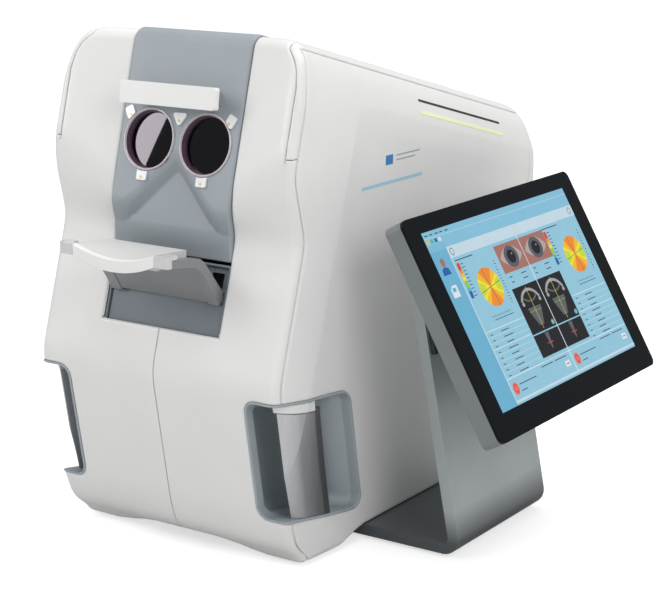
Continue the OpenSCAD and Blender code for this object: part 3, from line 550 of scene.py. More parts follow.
def make_covers():
    """Splits the skin along every cut, rolls its lips in and makes each cover a closed shell."""
    p, quads = surface_net(body, (-150, -252, 0), (150, 262, 492), 4.0)
    p = project(body, p)
    tri = np.vstack([quads[:, [0, 1, 2]], quads[:, [0, 2, 3]]])
    for cut in SEAMS + OPENINGS:
        for level in cut.steps:
            p, tri = split(p, tri, cut.line, level, cut.snap, cut.where)
    p, tri = split(p, tri, lambda x, y, z: z + 0 * x, 12.5, 0.3)
    p = project(body, p, 1, 0.5)
    n = unit(gradient(body, p))
    depth, tilt = lips(p, n, SEAMS + OPENINGS)
    skin = (p, n, p - n * depth[:, None], unit(n + tilt))

    x, y, z = p[tri].mean(1).T
    ax = np.abs(x)
    keep = ~((n[tri].mean(1)[:, 2] < -0.9) & (z > 11.4) & (z < 12.6))      # open underneath
    for cut in OPENINGS:
        keep &= ~((cut.line(x, y, z) < 0) & cut.where(x, y, z))
    behind, strip = behind_corner(y, z) - SEAM_D, strip_line(ax, y, z)
    roof, rear = roof_height(y, z) > -BAND_DROP, y > REAR_Y
    band = ~rear & ((roof & (ax > BAND_X)) | ((strip > 0) & (z > STRIP_FOOT) & (behind < 0)))
    lid = ~rear & ~band & roof & (y > LID_Y)
    front = ~rear & ~band & ~lid & ((behind < 0) | ((ax < 126.5) & (y < -149) & (z > 200)))
    side = ~rear & ~band & ~lid & ~front
    divides = {          # where each seam really has a cover on either side
        "mid": front & (z < 217),
        "corner": (ax > 104) & ~roof & (z < 470) & (y < -120) & (front | side | (band & (strip > 0))),
        "strip": (z > 377.7) & (behind < 0) & (front | band),
        "cut": (ax > 127.2) & (behind < 0) & (y < -170),
        "band": (ax > 100) & (behind > -0.2) & (band | side),
        "roof": roof & (y > -178) & (lid | band | front) & ~rear,
        "rear": y > 150,
        "lid": roof & (ax < BAND_X) & (ax > 60),
    }
    for cut in SEAMS:
        keep &= ~((np.abs(cut.line(x, y, z)) < cut.gap) & divides[cut.name])
    covers = [(name + "_" + word, mask & (np.sign(x) == sign), node + "_" + word)
              for name, mask, node in (("front_cover", front, "front_cover"),
                                       ("side_shell", side, "shell"), ("edge_band", band, "edge_band"))
              for sign, word in SIDES]
    covers += [("lid_cover", lid, "top_cover"), ("back_cover", rear, "rear_cover")]
    for name, mask, node in covers:
        place(skin_piece(name + "_skin", skin, tri[mask & keep], 2.6, MAT["white"]),
              "unit", "white_cover", node)


make_covers()


# ---- CAD nodes that keep their shape
def finish_node(node, mat, bevel=0.0):
    """New material, welded corners and small rounded edges on a CAD node."""
    obj = NODES[node]
    for i in range(len(obj.data.materials)):
        obj.data.materials[i] = mat
    if bevel:
        modifier(obj, "WELD", merge_threshold=0.00002)
        modifier(obj, "BEVEL", width=bevel * MM, segments=3, limit_method="ANGLE",
                 angle_limit=math.radians(30.0), use_clamp_overlap=True)
        modifier(obj, "WEIGHTED_NORMAL", keep_sharp=False, weight=60)


def lin(r, g, b):
    """Linear colour from display values of 0 to 255."""
    return tuple(((c / 255 + 0.055) / 1.055) ** 2.4 if c > 10 else c / 255 / 12.92 for c in (r, g, b))


MAT.update({
    "ring": material("ring_pearl", (0.62, 0.56, 0.60), 0.22, coat=0.5, grain=0.02),
    "tube": material("tube_plum", (0.085, 0.045, 0.075), 0.28, coat=0.4, mottle=0.1),
    "pad": material("lamp_white", (0.86, 0.87, 0.86), 0.25, coat=0.4, mottle=0.01),
    "dot": material("lamp_amber", (0.75, 0.62, 0.05), 0.3, coat=0.5, mottle=0.05),
    "foam": material("rest_white", (0.86, 0.86, 0.85), 0.38, grain=0.04, mottle=0.01, coat=0.15),
    "bracket": material("bracket_grey", (0.25, 0.26, 0.27), 0.36, metal=0.25, grain=0.05, mottle=0.04),
    "well": material("well_grey", (0.17, 0.20, 0.225), 0.46, grain=0.09, mottle=0.04),
    "steel": material("steel", (0.62, 0.63, 0.65), 0.24, metal=1.0, mottle=0.04, stretch=(1, 1, 12),
                      grain=0.04, grain_scale=300, aniso=0.3),
    "bar": material("grip_bar", (0.60, 0.61, 0.62), 0.34, metal=0.45, grain=0.05,
                    stretch=(14, 14, 1), grain_scale=220, aniso=0.4),
    "dark": material("dark_plastic", (0.035, 0.037, 0.04), 0.5, grain=0.1, mottle=0.08),
    "rubber": material("rubber", (0.02, 0.02, 0.02), 0.8, grain=0.2, mottle=0.1, grain_scale=500),
    "stand": material("stand_grey", (0.42, 0.455, 0.465), 0.38, metal=0.2, grain=0.10, mottle=0.04,
                      grain_scale=1400),
    "hinge": material("hinge_dark", (0.05, 0.052, 0.055), 0.4, metal=0.5, grain=0.08, mottle=0.06),
    "housing": material("housing_grey", (0.20, 0.222, 0.228), 0.42, metal=0.2, grain=0.07),
    "bezel": material("bezel_black", (0.006, 0.008, 0.010), 0.24, spec=0.09, mottle=0.05),
    "tab": material("tab_gloss", (0.66, 0.66, 0.66), 0.16, metal=0.2, coat=0.6, mottle=0.02),
    "cup": material("cup_white", (0.66, 0.66, 0.65), 0.40, grain=0.04, mottle=0.01),
    "alloy": material("alloy", (0.50, 0.51, 0.53), 0.4, metal=0.9, mottle=0.05, grain=0.05),
    "brass": material("brass", (0.62, 0.45, 0.17), 0.3, metal=1.0, mottle=0.06, stretch=(1, 1, 30),
                      grain=0.1, grain_scale=200),
    "board": material("board_green", (0.02, 0.12, 0.055), 0.35, coat=0.4, mottle=0.15,
                      mottle_scale=160),
    "guide": material("light_guide", (0.76, 0.86, 0.50), 0.3, emit=0.12),
    "slot": material("slot_dark", (0.03, 0.035, 0.035), 0.5, mottle=0.1),
    "base": material("base_grey", (0.06, 0.063, 0.067), 0.55, grain=0.08, mottle=0.08),
})

# material and edge radius in millimetres of each CAD node that is seen as it is
LOOKS = {
    "foot_pads": ("rubber", 0.5),
    "lamp_pads": ("pad", 0), "lamp_dots": ("dot", 0),
    "forehead_holder": ("bracket", 0.8), "forehead_rest": ("foam", 1.4),
    "chin_well": ("well", 0.5), "chin_bracket": ("bracket", 0.7), "chin_band": ("foam", 0.7),
    "chin_cup": ("cup", 0.7), "chin_tabs": ("tab", 1.0), "chin_apron": ("well", 0.4),
    "chin_carriage": ("alloy", 0.5),
    "chin_rods": ("steel", 0), "chin_screw": ("brass", 0),
    "stand_strip": ("stand", 1.6), "stand_pads": ("rubber", 0.4), "stand_bolts": ("steel", 0.4),
    "tilt_base": ("hinge", 0.8), "tilt_pin": ("steel", 0.4), "tilt_arm": ("hinge", 0.8),
    "display_back": ("housing", 1.2), "display_bezel": ("bezel", 0.5),
    "optic_frame": ("alloy", 0.4), "x_rods": ("steel", 0), "x_screw": ("brass", 0),
    "x_carriage": ("alloy", 0.5), "z_rods": ("steel", 0), "z_screw": ("brass", 0),
    "optic_head": ("dark", 0.6), "main_board": ("board", 0), "power_supply": ("alloy", 0.6),
    "fan_frame": ("dark", 0.5), "fan_rotor": ("dark", 0), "power_inlet": ("dark", 0.5),
    "rocker_switch": ("dark", 0.4), "data_ports": ("dark", 0.4),
}


def paint_shade_along(mat, axis, low, high, low_colour, high_colour):
    """Paints shade into the colour: it runs from one tone to another along an axis of the piece; metres.
    """
    nt = mat.node_tree
    coord, parts, ramp = (add_node(nt, kind) for kind in ("TexCoord", "SeparateXYZ", "ValToRGB"))
    span, mix = add_node(nt, "MapRange", From_Min=low, From_Max=high), add_node(nt, "Mix", Factor=1.0)
    mix.data_type, mix.blend_type = "RGBA", "MULTIPLY"
    set_ramp(ramp, low_colour, high_colour)
    paint = nt.nodes["Principled BSDF"].inputs["Base Color"]
    first, second, result = mix.inputs[6], mix.inputs[7], mix.outputs[2]      # the colour sockets
    wire(nt, (coord.outputs["Object"], parts.inputs[0]), (parts.outputs[axis], span.inputs["Value"]),
         (span.outputs[0], ramp.inputs["Fac"]), (paint.links[0].from_socket, first),
         (ramp.outputs["Color"], second), (result, paint))


# painted shade: the stand's colour darkens from 46 mm down to 15 mm, towards its lower bend and foot
paint_shade_along(MAT["stand"], "Z", 0.015, 0.046, (0.21, 0.22, 0.23), (1, 1, 1))
for node, (key, bevel) in LOOKS.items():
    finish_node(node, MAT[key], bevel)


def lens_glass():
    m, nt, b = new_material("lens_glass")
    b.inputs["Transmission Weight"].default_value = 0.9
    b.inputs["Roughness"].default_value = 0.04
    tint, ramp = add_node(nt, "TexNoise", Scale=30.0), add_node(nt, "ValToRGB")
    set_ramp(ramp, (0.62, 0.75, 0.9), (0.72, 0.8, 0.95))
    wire(nt, (tint.outputs["Fac"], ramp.inputs["Fac"]), (ramp.outputs["Color"], b.inputs["Base Color"]))
    return m


finish_node("head_lens", lens_glass())


# ---- face panel and eye windows
FACE_Y, FACE_Z, FACE_S = -197.5, 380.5, 0.275       # middle of the windows, and their lean
WINDOW_X, WINDOW_HOLE = 32.0, 27.2                  # window's middle and the hole's radius
CREASE_Z, RELIEF, PANEL_FOOT = 320.0, 9.4, 279.4    # nose relief's height and depth; panel's low edge
PANEL_HALF, PANEL_BACK, PANEL_THICK = 66.8, -40, 21
FACE_N = np.array([0, -1, FACE_S]) / math.hypot(1, FACE_S)
PANEL_KNOTS = ((-207.0, 262), (-207.6, 279), (-209, 294), (-213.2, 320), (-212.6, 326), (-208.6, 340),
               (-177, 455), (-160.5, 515), (-147, 564))
PANEL = smooth_table(PANEL_KNOTS, Z_GRID, 3.6)


def panel_skin(x, y, z):
    """Outer face of the panel with the nose relief let into it."""
    skin = rmax(off_line(y, PANEL, z), (roof_height(y, z) - 3.0) * ROOF_COS, 13)
    crease = CREASE_Z + rmax(50.0 - 1.05 * np.sqrt(x * x + 8.0), 0 * x, 12)
    sunk = rmin((crease - z) * 0.60, RELIEF + 0 * x, 5)
    relief = (FACE_Y + FACE_S * (z - FACE_Z) + sunk - y) / 1.2
    return rmax(skin, relief, 3.0)


def window_radius(x, y, z):
    """Distance from the nearer window's axis."""
    v = np.stack([np.abs(x) - WINDOW_X, y - FACE_Y, z - FACE_Z])
    along = v[1] * FACE_N[1] + v[2] * FACE_N[2]
    return np.sqrt(np.maximum((v * v).sum(0) - along * along, 1e-6))


def panel_body(x, y, z):
    back = rmax(off_line(y, PANEL, z), (roof_height(y, z) - 3.0) * ROOF_COS, 13) + PANEL_THICK
    back = back - np.clip((y + 165) / 12, 0, 1) * 15          # thinner on the roof
    f = rmax(panel_skin(x, y, z), -back, 1)
    f = rmax(f, np.abs(x) - PANEL_HALF, 1.8)
    f = rmax(f, PANEL_FOOT - z, 1.2)
    f = rmax(f, y - PANEL_BACK, 1.2)
    return rmax(f, WINDOW_HOLE - window_radius(x, y, z), 0.8)


def net_piece(name, field, lo, hi, step, mat):
    """Smooth closed piece where the field is negative."""
    pts, quads = surface_net(field, lo, hi, step)
    pts = project(field, pts, 3, step * 0.6)
    n = unit(gradient(field, pts, 0.12))
    return make_mesh(name, pts, quads, mat, normals=n[quads.ravel()])


panel = net_piece("face_panel_skin", panel_body, (-70, -222, 276), (70, -36, 486), 2.0, MAT["panel"])
place(panel, "unit", "grey_panel", "face_panel")


TURNS = 96


def lathe(profile, origin, axis):
    """Closed ring from an (r, h) outline turned about an axis that isn't near X."""
    axis = np.array(axis, float) / np.linalg.norm(axis)
    e1 = np.cross(axis, (1.0, 0, 0))
    e1 /= np.linalg.norm(e1)
    e2 = np.cross(axis, e1)
    pr = np.array(profile, float)
    k = len(pr)
    a = np.arange(TURNS) * 2 * np.pi / TURNS
    ring = np.cos(a)[:, None, None] * e1 + np.sin(a)[:, None, None] * e2
    pts = np.array(origin) + ring * pr[None, :, :1] + axis * pr[None, :, 1:]
    faces = [(i * k + q, j * k + q, j * k + w, i * k + w)
             for i, j in ((i, (i + 1) % TURNS) for i in range(TURNS))
             for q, w in ((q, (q + 1) % k) for q in range(k))]
    return pts.reshape(-1, 3), faces


def disc(radius, h0, h1, origin, axis, dome=0.0, edge=0.4):
    """Closed round plate, slightly domed, with a soft rim."""
    rows = [(radius - edge, h0), (radius, h0 + edge), (radius, h1 - edge)]
    n = 6
    rows += [(radius * (1 - i / n) - (edge if i == 0 else 0), h1 + dome * (1 - (1 - i / n) ** 2))
             for i in range(n)]
    verts, faces = lathe(rows, origin, axis)
    k = len(rows)
    faces = [f for f in faces if f[0] % k != k - 1]
    top, low = len(verts), len(verts) + 1
    ax = np.array(axis, float) / np.linalg.norm(axis)
    verts = np.vstack([verts, np.array(origin) + ax * (h1 + dome), np.array(origin) + ax * h0])
    for i in range(TURNS):
        j = (i + 1) % TURNS
        faces += [(i * k + k - 1, j * k + k - 1, top), (j * k, i * k, low)]
    return verts, faces


coated = material("window_coated", (0.0005, 0.0003, 0.002), 0.02, mottle=0.2, rough_var=0.0, spec=0.45)
coated.node_tree.nodes["Principled BSDF"].inputs["Specular Tint"].default_value = (0.95, 0.89, 0.96, 1)
# outline of the window's ring: (radius, height over the panel), from the tube round to its lip
RING = [(25.1, -9.0), (26.5, -9.0), (26.7, -0.6), (27.0, 0.05), (28.6, 0.05), (28.6, 0.9), (28.4, 1.5),
        (28.0, 1.9), (27.6, 1.9), (27.3, 1.5), (27.1, 0.6), (26.6, 0.2), (26.4, -1.2), (26.0, -1.5),
        (25.8, -2.8), (25.4, -3.1), (25.1, -6.0)]
TUBE_FROM = 11          # first point of the outline that lies down in the dark tube
for sign, word in SIDES:
    centre = (sign * WINDOW_X, FACE_Y, FACE_Z)
    verts, faces = lathe(RING, centre, FACE_N)
    inner = [int(f[0] % len(RING) >= TUBE_FROM or f[0] % len(RING) == 0) for f in faces]
    ring = make_mesh("window_ring_" + word, verts, faces, [MAT["ring"], MAT["tube"]], 32, index=inner)
    place(ring, "unit", "window_ring", "eye_ring_" + word)
    verts, faces = disc(25.4, -8.2, -6.2, centre, FACE_N, dome=0.25)
    pane = make_mesh("window_glass_" + word, verts, faces, coated, 40)
    place(pane, "unit", "window_glass", "eye_glass_" + word)


# ---- grip liners
def grip_liner(x, y, z):
    g = grip_box(np.abs(x), y, z)
    return rmax(rmax(g - 2.3, -g, 0.7), body(x, y, z) - 0.9, 0.8)


for sign, word in SIDES:
    lo, hi = to_side(sign, (86, -244, 34), (143, -96, 172))
    liner = net_piece("grip_liner_skin_" + word, grip_liner, lo, hi, 1.15, MAT["grip"])
    place(liner, "unit", "grip_grey", "grip_liner_" + word)


# ---- grip bars, their rails and caps
# painted shade: the bar's colour darkens from its front edge towards the back of the grip
paint_shade_along(MAT["bar"], "Y", -0.218, -0.168, (1, 1, 1), (0.33, 0.33, 0.34))
MAT["rail"] = material("grip_rail", (0.10, 0.105, 0.11), 0.35, metal=0.4, mottle=0.04)
BAR_FRONT, BAR_BACK, RAIL_BACK = 9.0, 57.4, 67.0        # depths into the grip


def above_cap_line(y, z):
    """Height above the line where the bar ends and its cap begins."""
    return (z - (154.4 + (y + 220) * -0.175)) * 0.98


def in_grip(f, ax, y, z):
    """Part of the shape that is inside the finger space."""
    return np.maximum(f, grip_box(ax, y, z) + 0.15)


def grip_column(x, y, z):
    ax, u, skin = np.abs(x), grip_depth(y, z), body(x, y, z) + 0.7
    inner = np.interp(u, (7.5, 18, 34, 50, 57), (127, 125.5, 124, 126, 131)) - ax
    f = rmax(rmax(BAR_FRONT - u, skin, 24), rmax(u - BAR_BACK, inner, 2), 1.2)
    return np.maximum(in_grip(f, ax, y, z), above_cap_line(y, z))


def grip_cap(x, y, z):
    ax, u, skin = np.abs(x), grip_depth(y, z), body(x, y, z) + 0.2
    f = rmax(rmax(BAR_FRONT - 0.5 - u, skin, 24), rmax(u - BAR_BACK - 0.5, 124 - ax, 2), 1.2)
    return rmax(in_grip(f, ax, y, z), 0.4 * 0.98 - above_cap_line(y, z), 1.0)


def grip_rail(x, y, z):
    ax, u = np.abs(x), grip_depth(y, z)
    across = np.maximum(133 - ax, body(x, y, z) + 1.0)
    along = np.maximum(BAR_BACK + 0.2 - u, u - RAIL_BACK)
    return np.maximum(in_grip(rmax(along, across, 0.8), ax, y, z), above_cap_line(y, z) - 4 * 0.98)


for sign, word in SIDES:
    for name, func, key, slot, foot_z, node in (
            ("grip_bar_skin_", grip_column, "bar", "grip_metal", 34, "grip_bars"),
            ("grip_cap_skin_", grip_cap, "white", "white_cover", 128, "grip_caps"),
            ("grip_rail_skin_", grip_rail, "rail", "grip_metal", 34, None)):
        lo, hi = to_side(sign, (118, -242, foot_z), (143, -140, 172))
        part = net_piece(name + word, func, lo, hi, 0.9, MAT[key])
        place(part, "unit", slot, *([node] if node and sign > 0 else []))


# ---- marks on the right side
def skin_plate(name, outline_rows, lift, thick, mat, side=1):
    """Thin plate that follows one side of the body; rows of (y, z) points."""
    rows = np.array(outline_rows, float)
    m, k = rows.shape[:2]
    q = m * k
    p = np.column_stack([np.full(q, 138.0), rows.reshape(-1, 2)])
    for _ in range(12):
        p[:, 0] -= body(*p.T)
    n = unit(gradient(body, p))
    verts = np.vstack([p + n * (lift + thick), p - n * 0.2])
    faces = []
    for i in range(m - 1):
        for j in range(k - 1):
            a, d = i * k + j, (i + 1) * k + j
            faces += [(a, d, d + 1, a + 1), (a + q, a + 1 + q, d + 1 + q, d + q)]
    edge = list(range(k)) + [i * k + k - 1 for i in range(1, m)]
    edge += [(m - 1) * k + j for j in range(k - 2, -1, -1)] + [i * k for i in range(m - 2, 0, -1)]
    faces += [(a, b, b + q, a + q) for a, b in zip(edge, edge[1:] + edge[:1])]
    if side < 0:
        verts = verts * (-1, 1, 1)
        faces = [tuple(reversed(f)) for f in faces]
    return make_mesh(name, verts, faces, mat, 40)


def bar_rows(y0, y1, z0, z1, n=40):
    return [[(y, z) for y in np.linspace(y0, y1, n)] for z in (z0, z1)]


def roof_rows(depth, half, y1):
    """Rows of a band that runs below the roof edge and parallel to it."""
    ys = np.linspace(0, y1, 60)
    top = -roof_height(ys, 0 * ys) - depth
    return [[(y, z + h) for y, z in zip(ys, top)] for h in (-half, half)]


for side, word in SIDES:
    for name, rows, lift, thick, key, slot, node in (
            ("vent_line_", roof_rows(26.5, 1.1, 157), 0.04, 0.12, "slot", "dark_trim", "vent_strips"),
            ("light_line_", roof_rows(37.5, 1.5, 160), 0.06, 0.3, "guide", "light_green",
             "light_guides")):
        line = skin_plate(name + word, rows, lift, thick, MAT[key], side)
        place(line, "unit", slot, *([node] if side > 0 else []))

STRIPE = material("stripe_blue", lin(168, 210, 226), 0.4, mottle=0.02)
MARK_BLUE = material("mark_blue", lin(52, 128, 184), 0.4)
MARK_GREY = material("mark_grey", lin(158, 168, 176), 0.45)
for name, rows, thick, mat, node in (
        ("side_stripe", bar_rows(-103, 2, 335.2, 338.0), 0.15, STRIPE, "accent_stripe"),
        ("side_tile", bar_rows(-62, -50, 353.0, 362.0, 8), 0.15, MARK_BLUE, None),
        ("side_line_0", bar_rows(-44, -4.0, 359.6, 359.6 + 1.3, 12), 0.12, MARK_GREY, None),
        ("side_line_1", bar_rows(-44, -12.0, 355.2, 355.2 + 1.3, 12), 0.12, MARK_GREY, None)):
    place(skin_plate(name, rows, 0.05, thick, mat), "unit", "accent_blue", *([node] if node else []))


# ---- picture on the display
LEAN = math.radians(29.8)
# middle of the picture, and its directions: across, up and out
DISP_C = np.array([259.5, 0.0, 236.9])
DISP_X = np.array([0.0, 1.0, 0.0])
DISP_Y = np.array([-math.sin(LEAN), 0.0, math.cos(LEAN)])
DISP_Z = np.array([math.cos(LEAN), 0.0, math.sin(LEAN)])
UI_COLOURS = {
    "sky": (152, 206, 228), "side": (112, 184, 218), "head": (205, 227, 240), "menu": (138, 199, 226),
    "line": (222, 238, 246), "ink": (44, 74, 96), "skin": (172, 116, 104), "white": (188, 172, 168),
    "iris": (92, 92, 104), "black": (14, 16, 20), "scan": (96, 100, 102), "scan_hi": (168, 170, 170),
    "orange": (250, 146, 44), "amber": (252, 196, 40), "yellow": (250, 236, 52),
    "green": (150, 208, 70), "lime": (206, 226, 60),
    "red": (228, 66, 44), "cyan": (70, 190, 200), "blue": (36, 96, 178), "pink": (232, 128, 118),
    "button": (232, 238, 242),
}


def lit_material(name, rgb):
    """Paint of the lit picture: its colour is only in the glow."""
    m = material("screen_" + name, lin(*rgb), 0.35, mottle=0.02, mottle_scale=60, spec=0.25, emit=0.86)
    paint = m.node_tree.nodes["Principled BSDF"].inputs["Base Color"]
    m.node_tree.links.remove(paint.links[0])
    paint.default_value = (0.01, 0.01, 0.012, 1)
    return m


UI_KEYS = list(UI_COLOURS)
ui_verts, ui_faces, ui_index = [], [], []


def plate(points, key, level=3):
    """Closed thin plate in the picture plane; points in millimetres from the picture's centre."""
    pts = list(points)
    if sum(a[0] * b[1] - a[1] * b[0] for a, b in zip(pts, pts[1:] + pts[:1])) < 0:
        pts.reverse()
    base, k = len(ui_verts), len(pts)
    for h in (-0.56 + 0.04 * level, -0.66):
        ui_verts.extend(DISP_C + DISP_X * u + DISP_Y * v + DISP_Z * h for u, v in pts)
    top = [base + i for i in range(k)]
    low = [base + k + i for i in range(k)]
    ui_faces.extend([tuple(top), tuple(reversed(low))])
    ui_faces.extend(zip(top, low, low[1:] + low[:1], top[1:] + top[:1]))
    ui_index.extend([UI_KEYS.index(key)] * (k + 2))


def rect(x0, y0, x1, y1, key="ink", level=3):
    plate([(x0, y0), (x1, y0), (x1, y1), (x0, y1)], key, level)


def on_ring(cx, cy, rx, ry, angle):
    return cx + rx * math.cos(angle), cy + ry * math.sin(angle)


def ellipse(cx, cy, rx, ry, key, level=3, n=32):
    plate([on_ring(cx, cy, rx, ry, 2 * math.pi * i / n) for i in range(n)], key, level)


def arc_band(cx, cy, r0, r1, a0, a1, key, level, squash):
    n = 18
    a = [math.radians(a0 + (a1 - a0) * i / n) for i in range(n + 1)]
    inner, outer = ([on_ring(cx, cy, r, squash * r, t) for t in a] for r in (r0, r1))
    for i in range(n):
        plate([outer[i], outer[i + 1], inner[i + 1], inner[i]], key, level)


def colour_disc(cx, cy, r):
    """Round map of a surface, warm along the upright and green across, with a cross."""
    for i in range(32):
        a0, a1 = 2 * math.pi * i / 32, 2 * math.pi * (i + 1) / 32
        up = abs(math.sin((a0 + a1) / 2))
        for q in range(4):
            r0, r1 = q / 4 * r, (q + 1) / 4 * r
            key = "orange" if up > 0.80 else "amber" if up > 0.52 + 0.1 * (q == 3) else "yellow"
            if up < 0.30 and q > 1:
                key = "lime"
            corners = [(r1, a0), (r1, a1), (r0, a1)] + ([(r0, a0)] if q else [])
            plate([on_ring(cx, cy, rad, rad, a) for rad, a in corners], key)
    for a in (0.15, math.pi / 2 + 0.15):
        dx, dy = math.cos(a) * r, math.sin(a) * r
        wx, wy = -math.sin(a) * 0.25, math.cos(a) * 0.25
        plate([(cx - dx + wx, cy - dy + wy), (cx - dx - wx, cy - dy - wy),
               (cx + dx - wx, cy + dy - wy), (cx + dx + wx, cy + dy + wy)], "ink", 4)


def eye_picture(x0, x1, y0, y1):
    cx, cy, n = (x0 + x1) / 2, (y0 + y1) / 2, 16

    def lid(height, steps):
        return [(x0 + 3 + (x1 - x0 - 6) * i / n, cy + height * math.sin(math.pi * i / n) ** 0.8)
                for i in steps]

    rect(x0, y0, x1, y1, "skin")
    plate(lid(10.5, range(n + 1)) + lid(-9.0, range(n - 1, 0, -1)), "white", 4)
    ellipse(cx, cy, 12.0, 10.6, "iris", 5)
    ellipse(cx, cy, 7.0, 6.6, "black", 6)
    ellipse(cx + 2.2, cy + 2.4, 0.9, 0.9, "white", 7, 12)


def needle_picture(x0, x1, y0, y1):
    cx, cy = (x0 + x1) / 2, (y0 + y1) / 2
    rect(x0, y0, x1, y1, "black")
    plate([(cx - 3, y1 - 1), (cx + 4, y1 - 1), (cx + 1.2, y0 + 5), (cx - 0.4, y0 + 5)], "scan", 4)
    rect(cx - 5, cy - 0.4, cx + 6, cy + 0.3, "red", 5)


def scan_picture(x0, x1, y0, y1):
    """Section of the front of an eye with its measuring lines."""
    cx = (x0 + x1) / 2
    rect(x0, y0, x1, y1, "black")
    arc_band(cx, y1 - 22, 16.5, 19.5, 25, 155, "scan_hi", 4, 0.95)
    arc_band(cx, y1 - 6, 13, 15.5, 215, 325, "scan", 4, 0.7)
    plate([(cx + dx, y1 - dy) for dx, dy in ((-12, 22), (12, 22), (9, 30), (4, 40), (-4, 40), (-9, 30))],
          "scan", 4)
    for dx in (-17, 14):
        ellipse(cx + dx + 1.5, y1 - 17, 2.2, 2.0, "scan_hi", 5, 12)
    rect(cx - 0.15, y0 + 2, cx + 0.15, y1 - 2, "yellow", 6)
    rect(cx - 11, y1 - 26, cx + 11, y1 - 25.7, "green", 6)
    ellipse(x1 - 4.2, y0 + 4.2, 2.6, 2.6, "cyan", 6, 18)
    ellipse(x1 - 4.2, y0 + 4.2, 1.3, 1.3, "white", 7, 12)


SCALE_KEYS = "red red orange amber yellow green green cyan blue blue".split()


def make_picture():
    """Generic result page: bars in place of words, two eyes, two scans and two maps."""
    w, h = 133.2, 85.3
    for x0, y0, x1, y1, key, level in (
            (-w, -h, w, h, "sky", 0), (-w, 72.6, w, h, "menu", 1), (-w, 79.0, w, 79.3, "line", 2),
            (-w, -h, -105.2, 72.6, "side", 1), (-w, 66.2, w, 72.6, "menu", 1),
            (-105.2, 56.4, w, 67.2, "head", 2), (-105.2, -83.4, w, -81.2, "head", 2),
            (-105.6, -83.4, -104.2, 57, "head", 2), (13.0, -81.4, 14.2, 56.4, "line", 2),
            (-103.6, -61.6, w - 1, -61.0, "line", 2)):
        rect(x0, y0, x1, y1, key, level)
    for i in range(5):
        rect(-130 + i * 8.5, 81.3, -124.4 + i * 8.5 - (i % 2), 82.3)
    for i, key in enumerate(("amber", "cyan", "blue", "button")):
        rect(-130.5 + i * 6.6, 74.2, -126.5 + i * 6.6, 77.6, key)
    # marks in the heading and icons of the side column
    for cx in (-99.0, 126.0):
        ellipse(cx, 61.8, 3.0, 3.6, "ink")
        ellipse(cx, 61.8, 2.3, 2.9, "head", 4)
    ellipse(-120.6, 55.0, 3.4, 4.2, "skin")
    plate([(-127, 43.4), (-114.2, 43.4), (-115.6, 49), (-119, 50.6), (-122.4, 50.6), (-125.6, 49)],
          "blue", 3)
    plate([(-126.4, 22.0), (-115.6, 22.0), (-115.6, 33.2), (-122.6, 33.2), (-126.4, 30.2)], "button")
    rect(-124.0, 27.4, -118.6, 31.0, "cyan", 4)
    # colour scales and maps
    for s0, bar in ((-101.4, -101.2), (60.6, 61.6)):
        for i, key in enumerate(SCALE_KEYS):
            rect(bar, 50.4 - (i + 1) * 3.4, bar + 4.6, 50.4 - i * 3.4, key)
            rect(bar + 6.0, 48.4 - i * 3.4, bar + 11.0, 49.1 - i * 3.4)
        rect(s0, 52.6, s0 + 31, 53.5)
    for cx in (-64.2, 101.6):
        colour_disc(cx, 20.4, 18.8)
        for i in range(15):
            rect(cx + 21.5, 0.6 + i * 2.9, cx + 23.3 + (i % 2) * 0.9, 1.3 + i * 2.9)
            rect(cx - 18 + i * 2.2, -6.2, cx - 17.4 + i * 2.2, -4.6 - (i % 2) * 0.9)
        rect(cx - 17, -9.2, cx + 17, -8.6)
    # eyes, scans and the rows of values
    for x0, x1 in ((-32.6, 13.2), (14.4, 61.0)):
        eye_picture(x0, x1, 26.0, 53.4)
    for x in (-28, 17.5):
        for r in range(2):
            rect(x, 21.4 - r * 5, x + 5, 22.3 - r * 5)
            rect(x + 22, 21.4 - r * 5, x + 31, 22.3 - r * 5)
    for x0, x1 in ((-33.6, 13.0), (14.2, 60.0)):
        scan_picture(x0, x1, -34.9, 10.9)
        needle_picture(x0, x1, -57.8, -36.1)
    for x0, x1 in ((-103.6, -35.0), (61.4, 131.6)):
        for i in range(9):
            y = -16.6 - i * 5.6
            rect(x0, y, x1, y + (0.7 if i in (0, 3, 8) else 0.3), "line", 2)
            if i < 8:
                rect(x0 + 5, y - 3.6, x0 + 9, y - 2.8)
                rect(x0 + 24 + (i % 3), y - 3.6, x0 + 38 + (i % 2) * 3, y - 2.8)
    for x0 in (-103.0, 15.6):
        for rx, ry, key, level in ((5.0, 6.0, "pink", 3), (3.4, 4.2, "red", 4), (2.2, 2.8, "pink", 5)):
            ellipse(x0 + 6.4, -71.4, rx, ry, key, level)
        for dx0, dy0, dx1, dy1, key, level in (
                (14, -69.6, 46, -68.8, "ink", 3), (14, -75.6, 24, -74.8, "ink", 3),
                (60, -64.6, 82, -63.8, "ink", 3), (86, -64.6, 108, -63.8, "ink", 3),
                (101.4, -74.4, 110.0, -68.6, "button", 3), (103.4, -72.0, 108.0, -71.2, "ink", 4)):
            rect(x0 + dx0, dy0, x0 + dx1, dy1, key, level)
    mats = [lit_material(k, UI_COLOURS[k]) for k in UI_KEYS]
    return make_mesh("display_picture", ui_verts, ui_faces, mats, 30, index=ui_index)


finish_node("display_screen", material("screen_body", (0.012, 0.014, 0.018), 0.3, mottle=0.1))
place(make_picture(), "display", "screen")


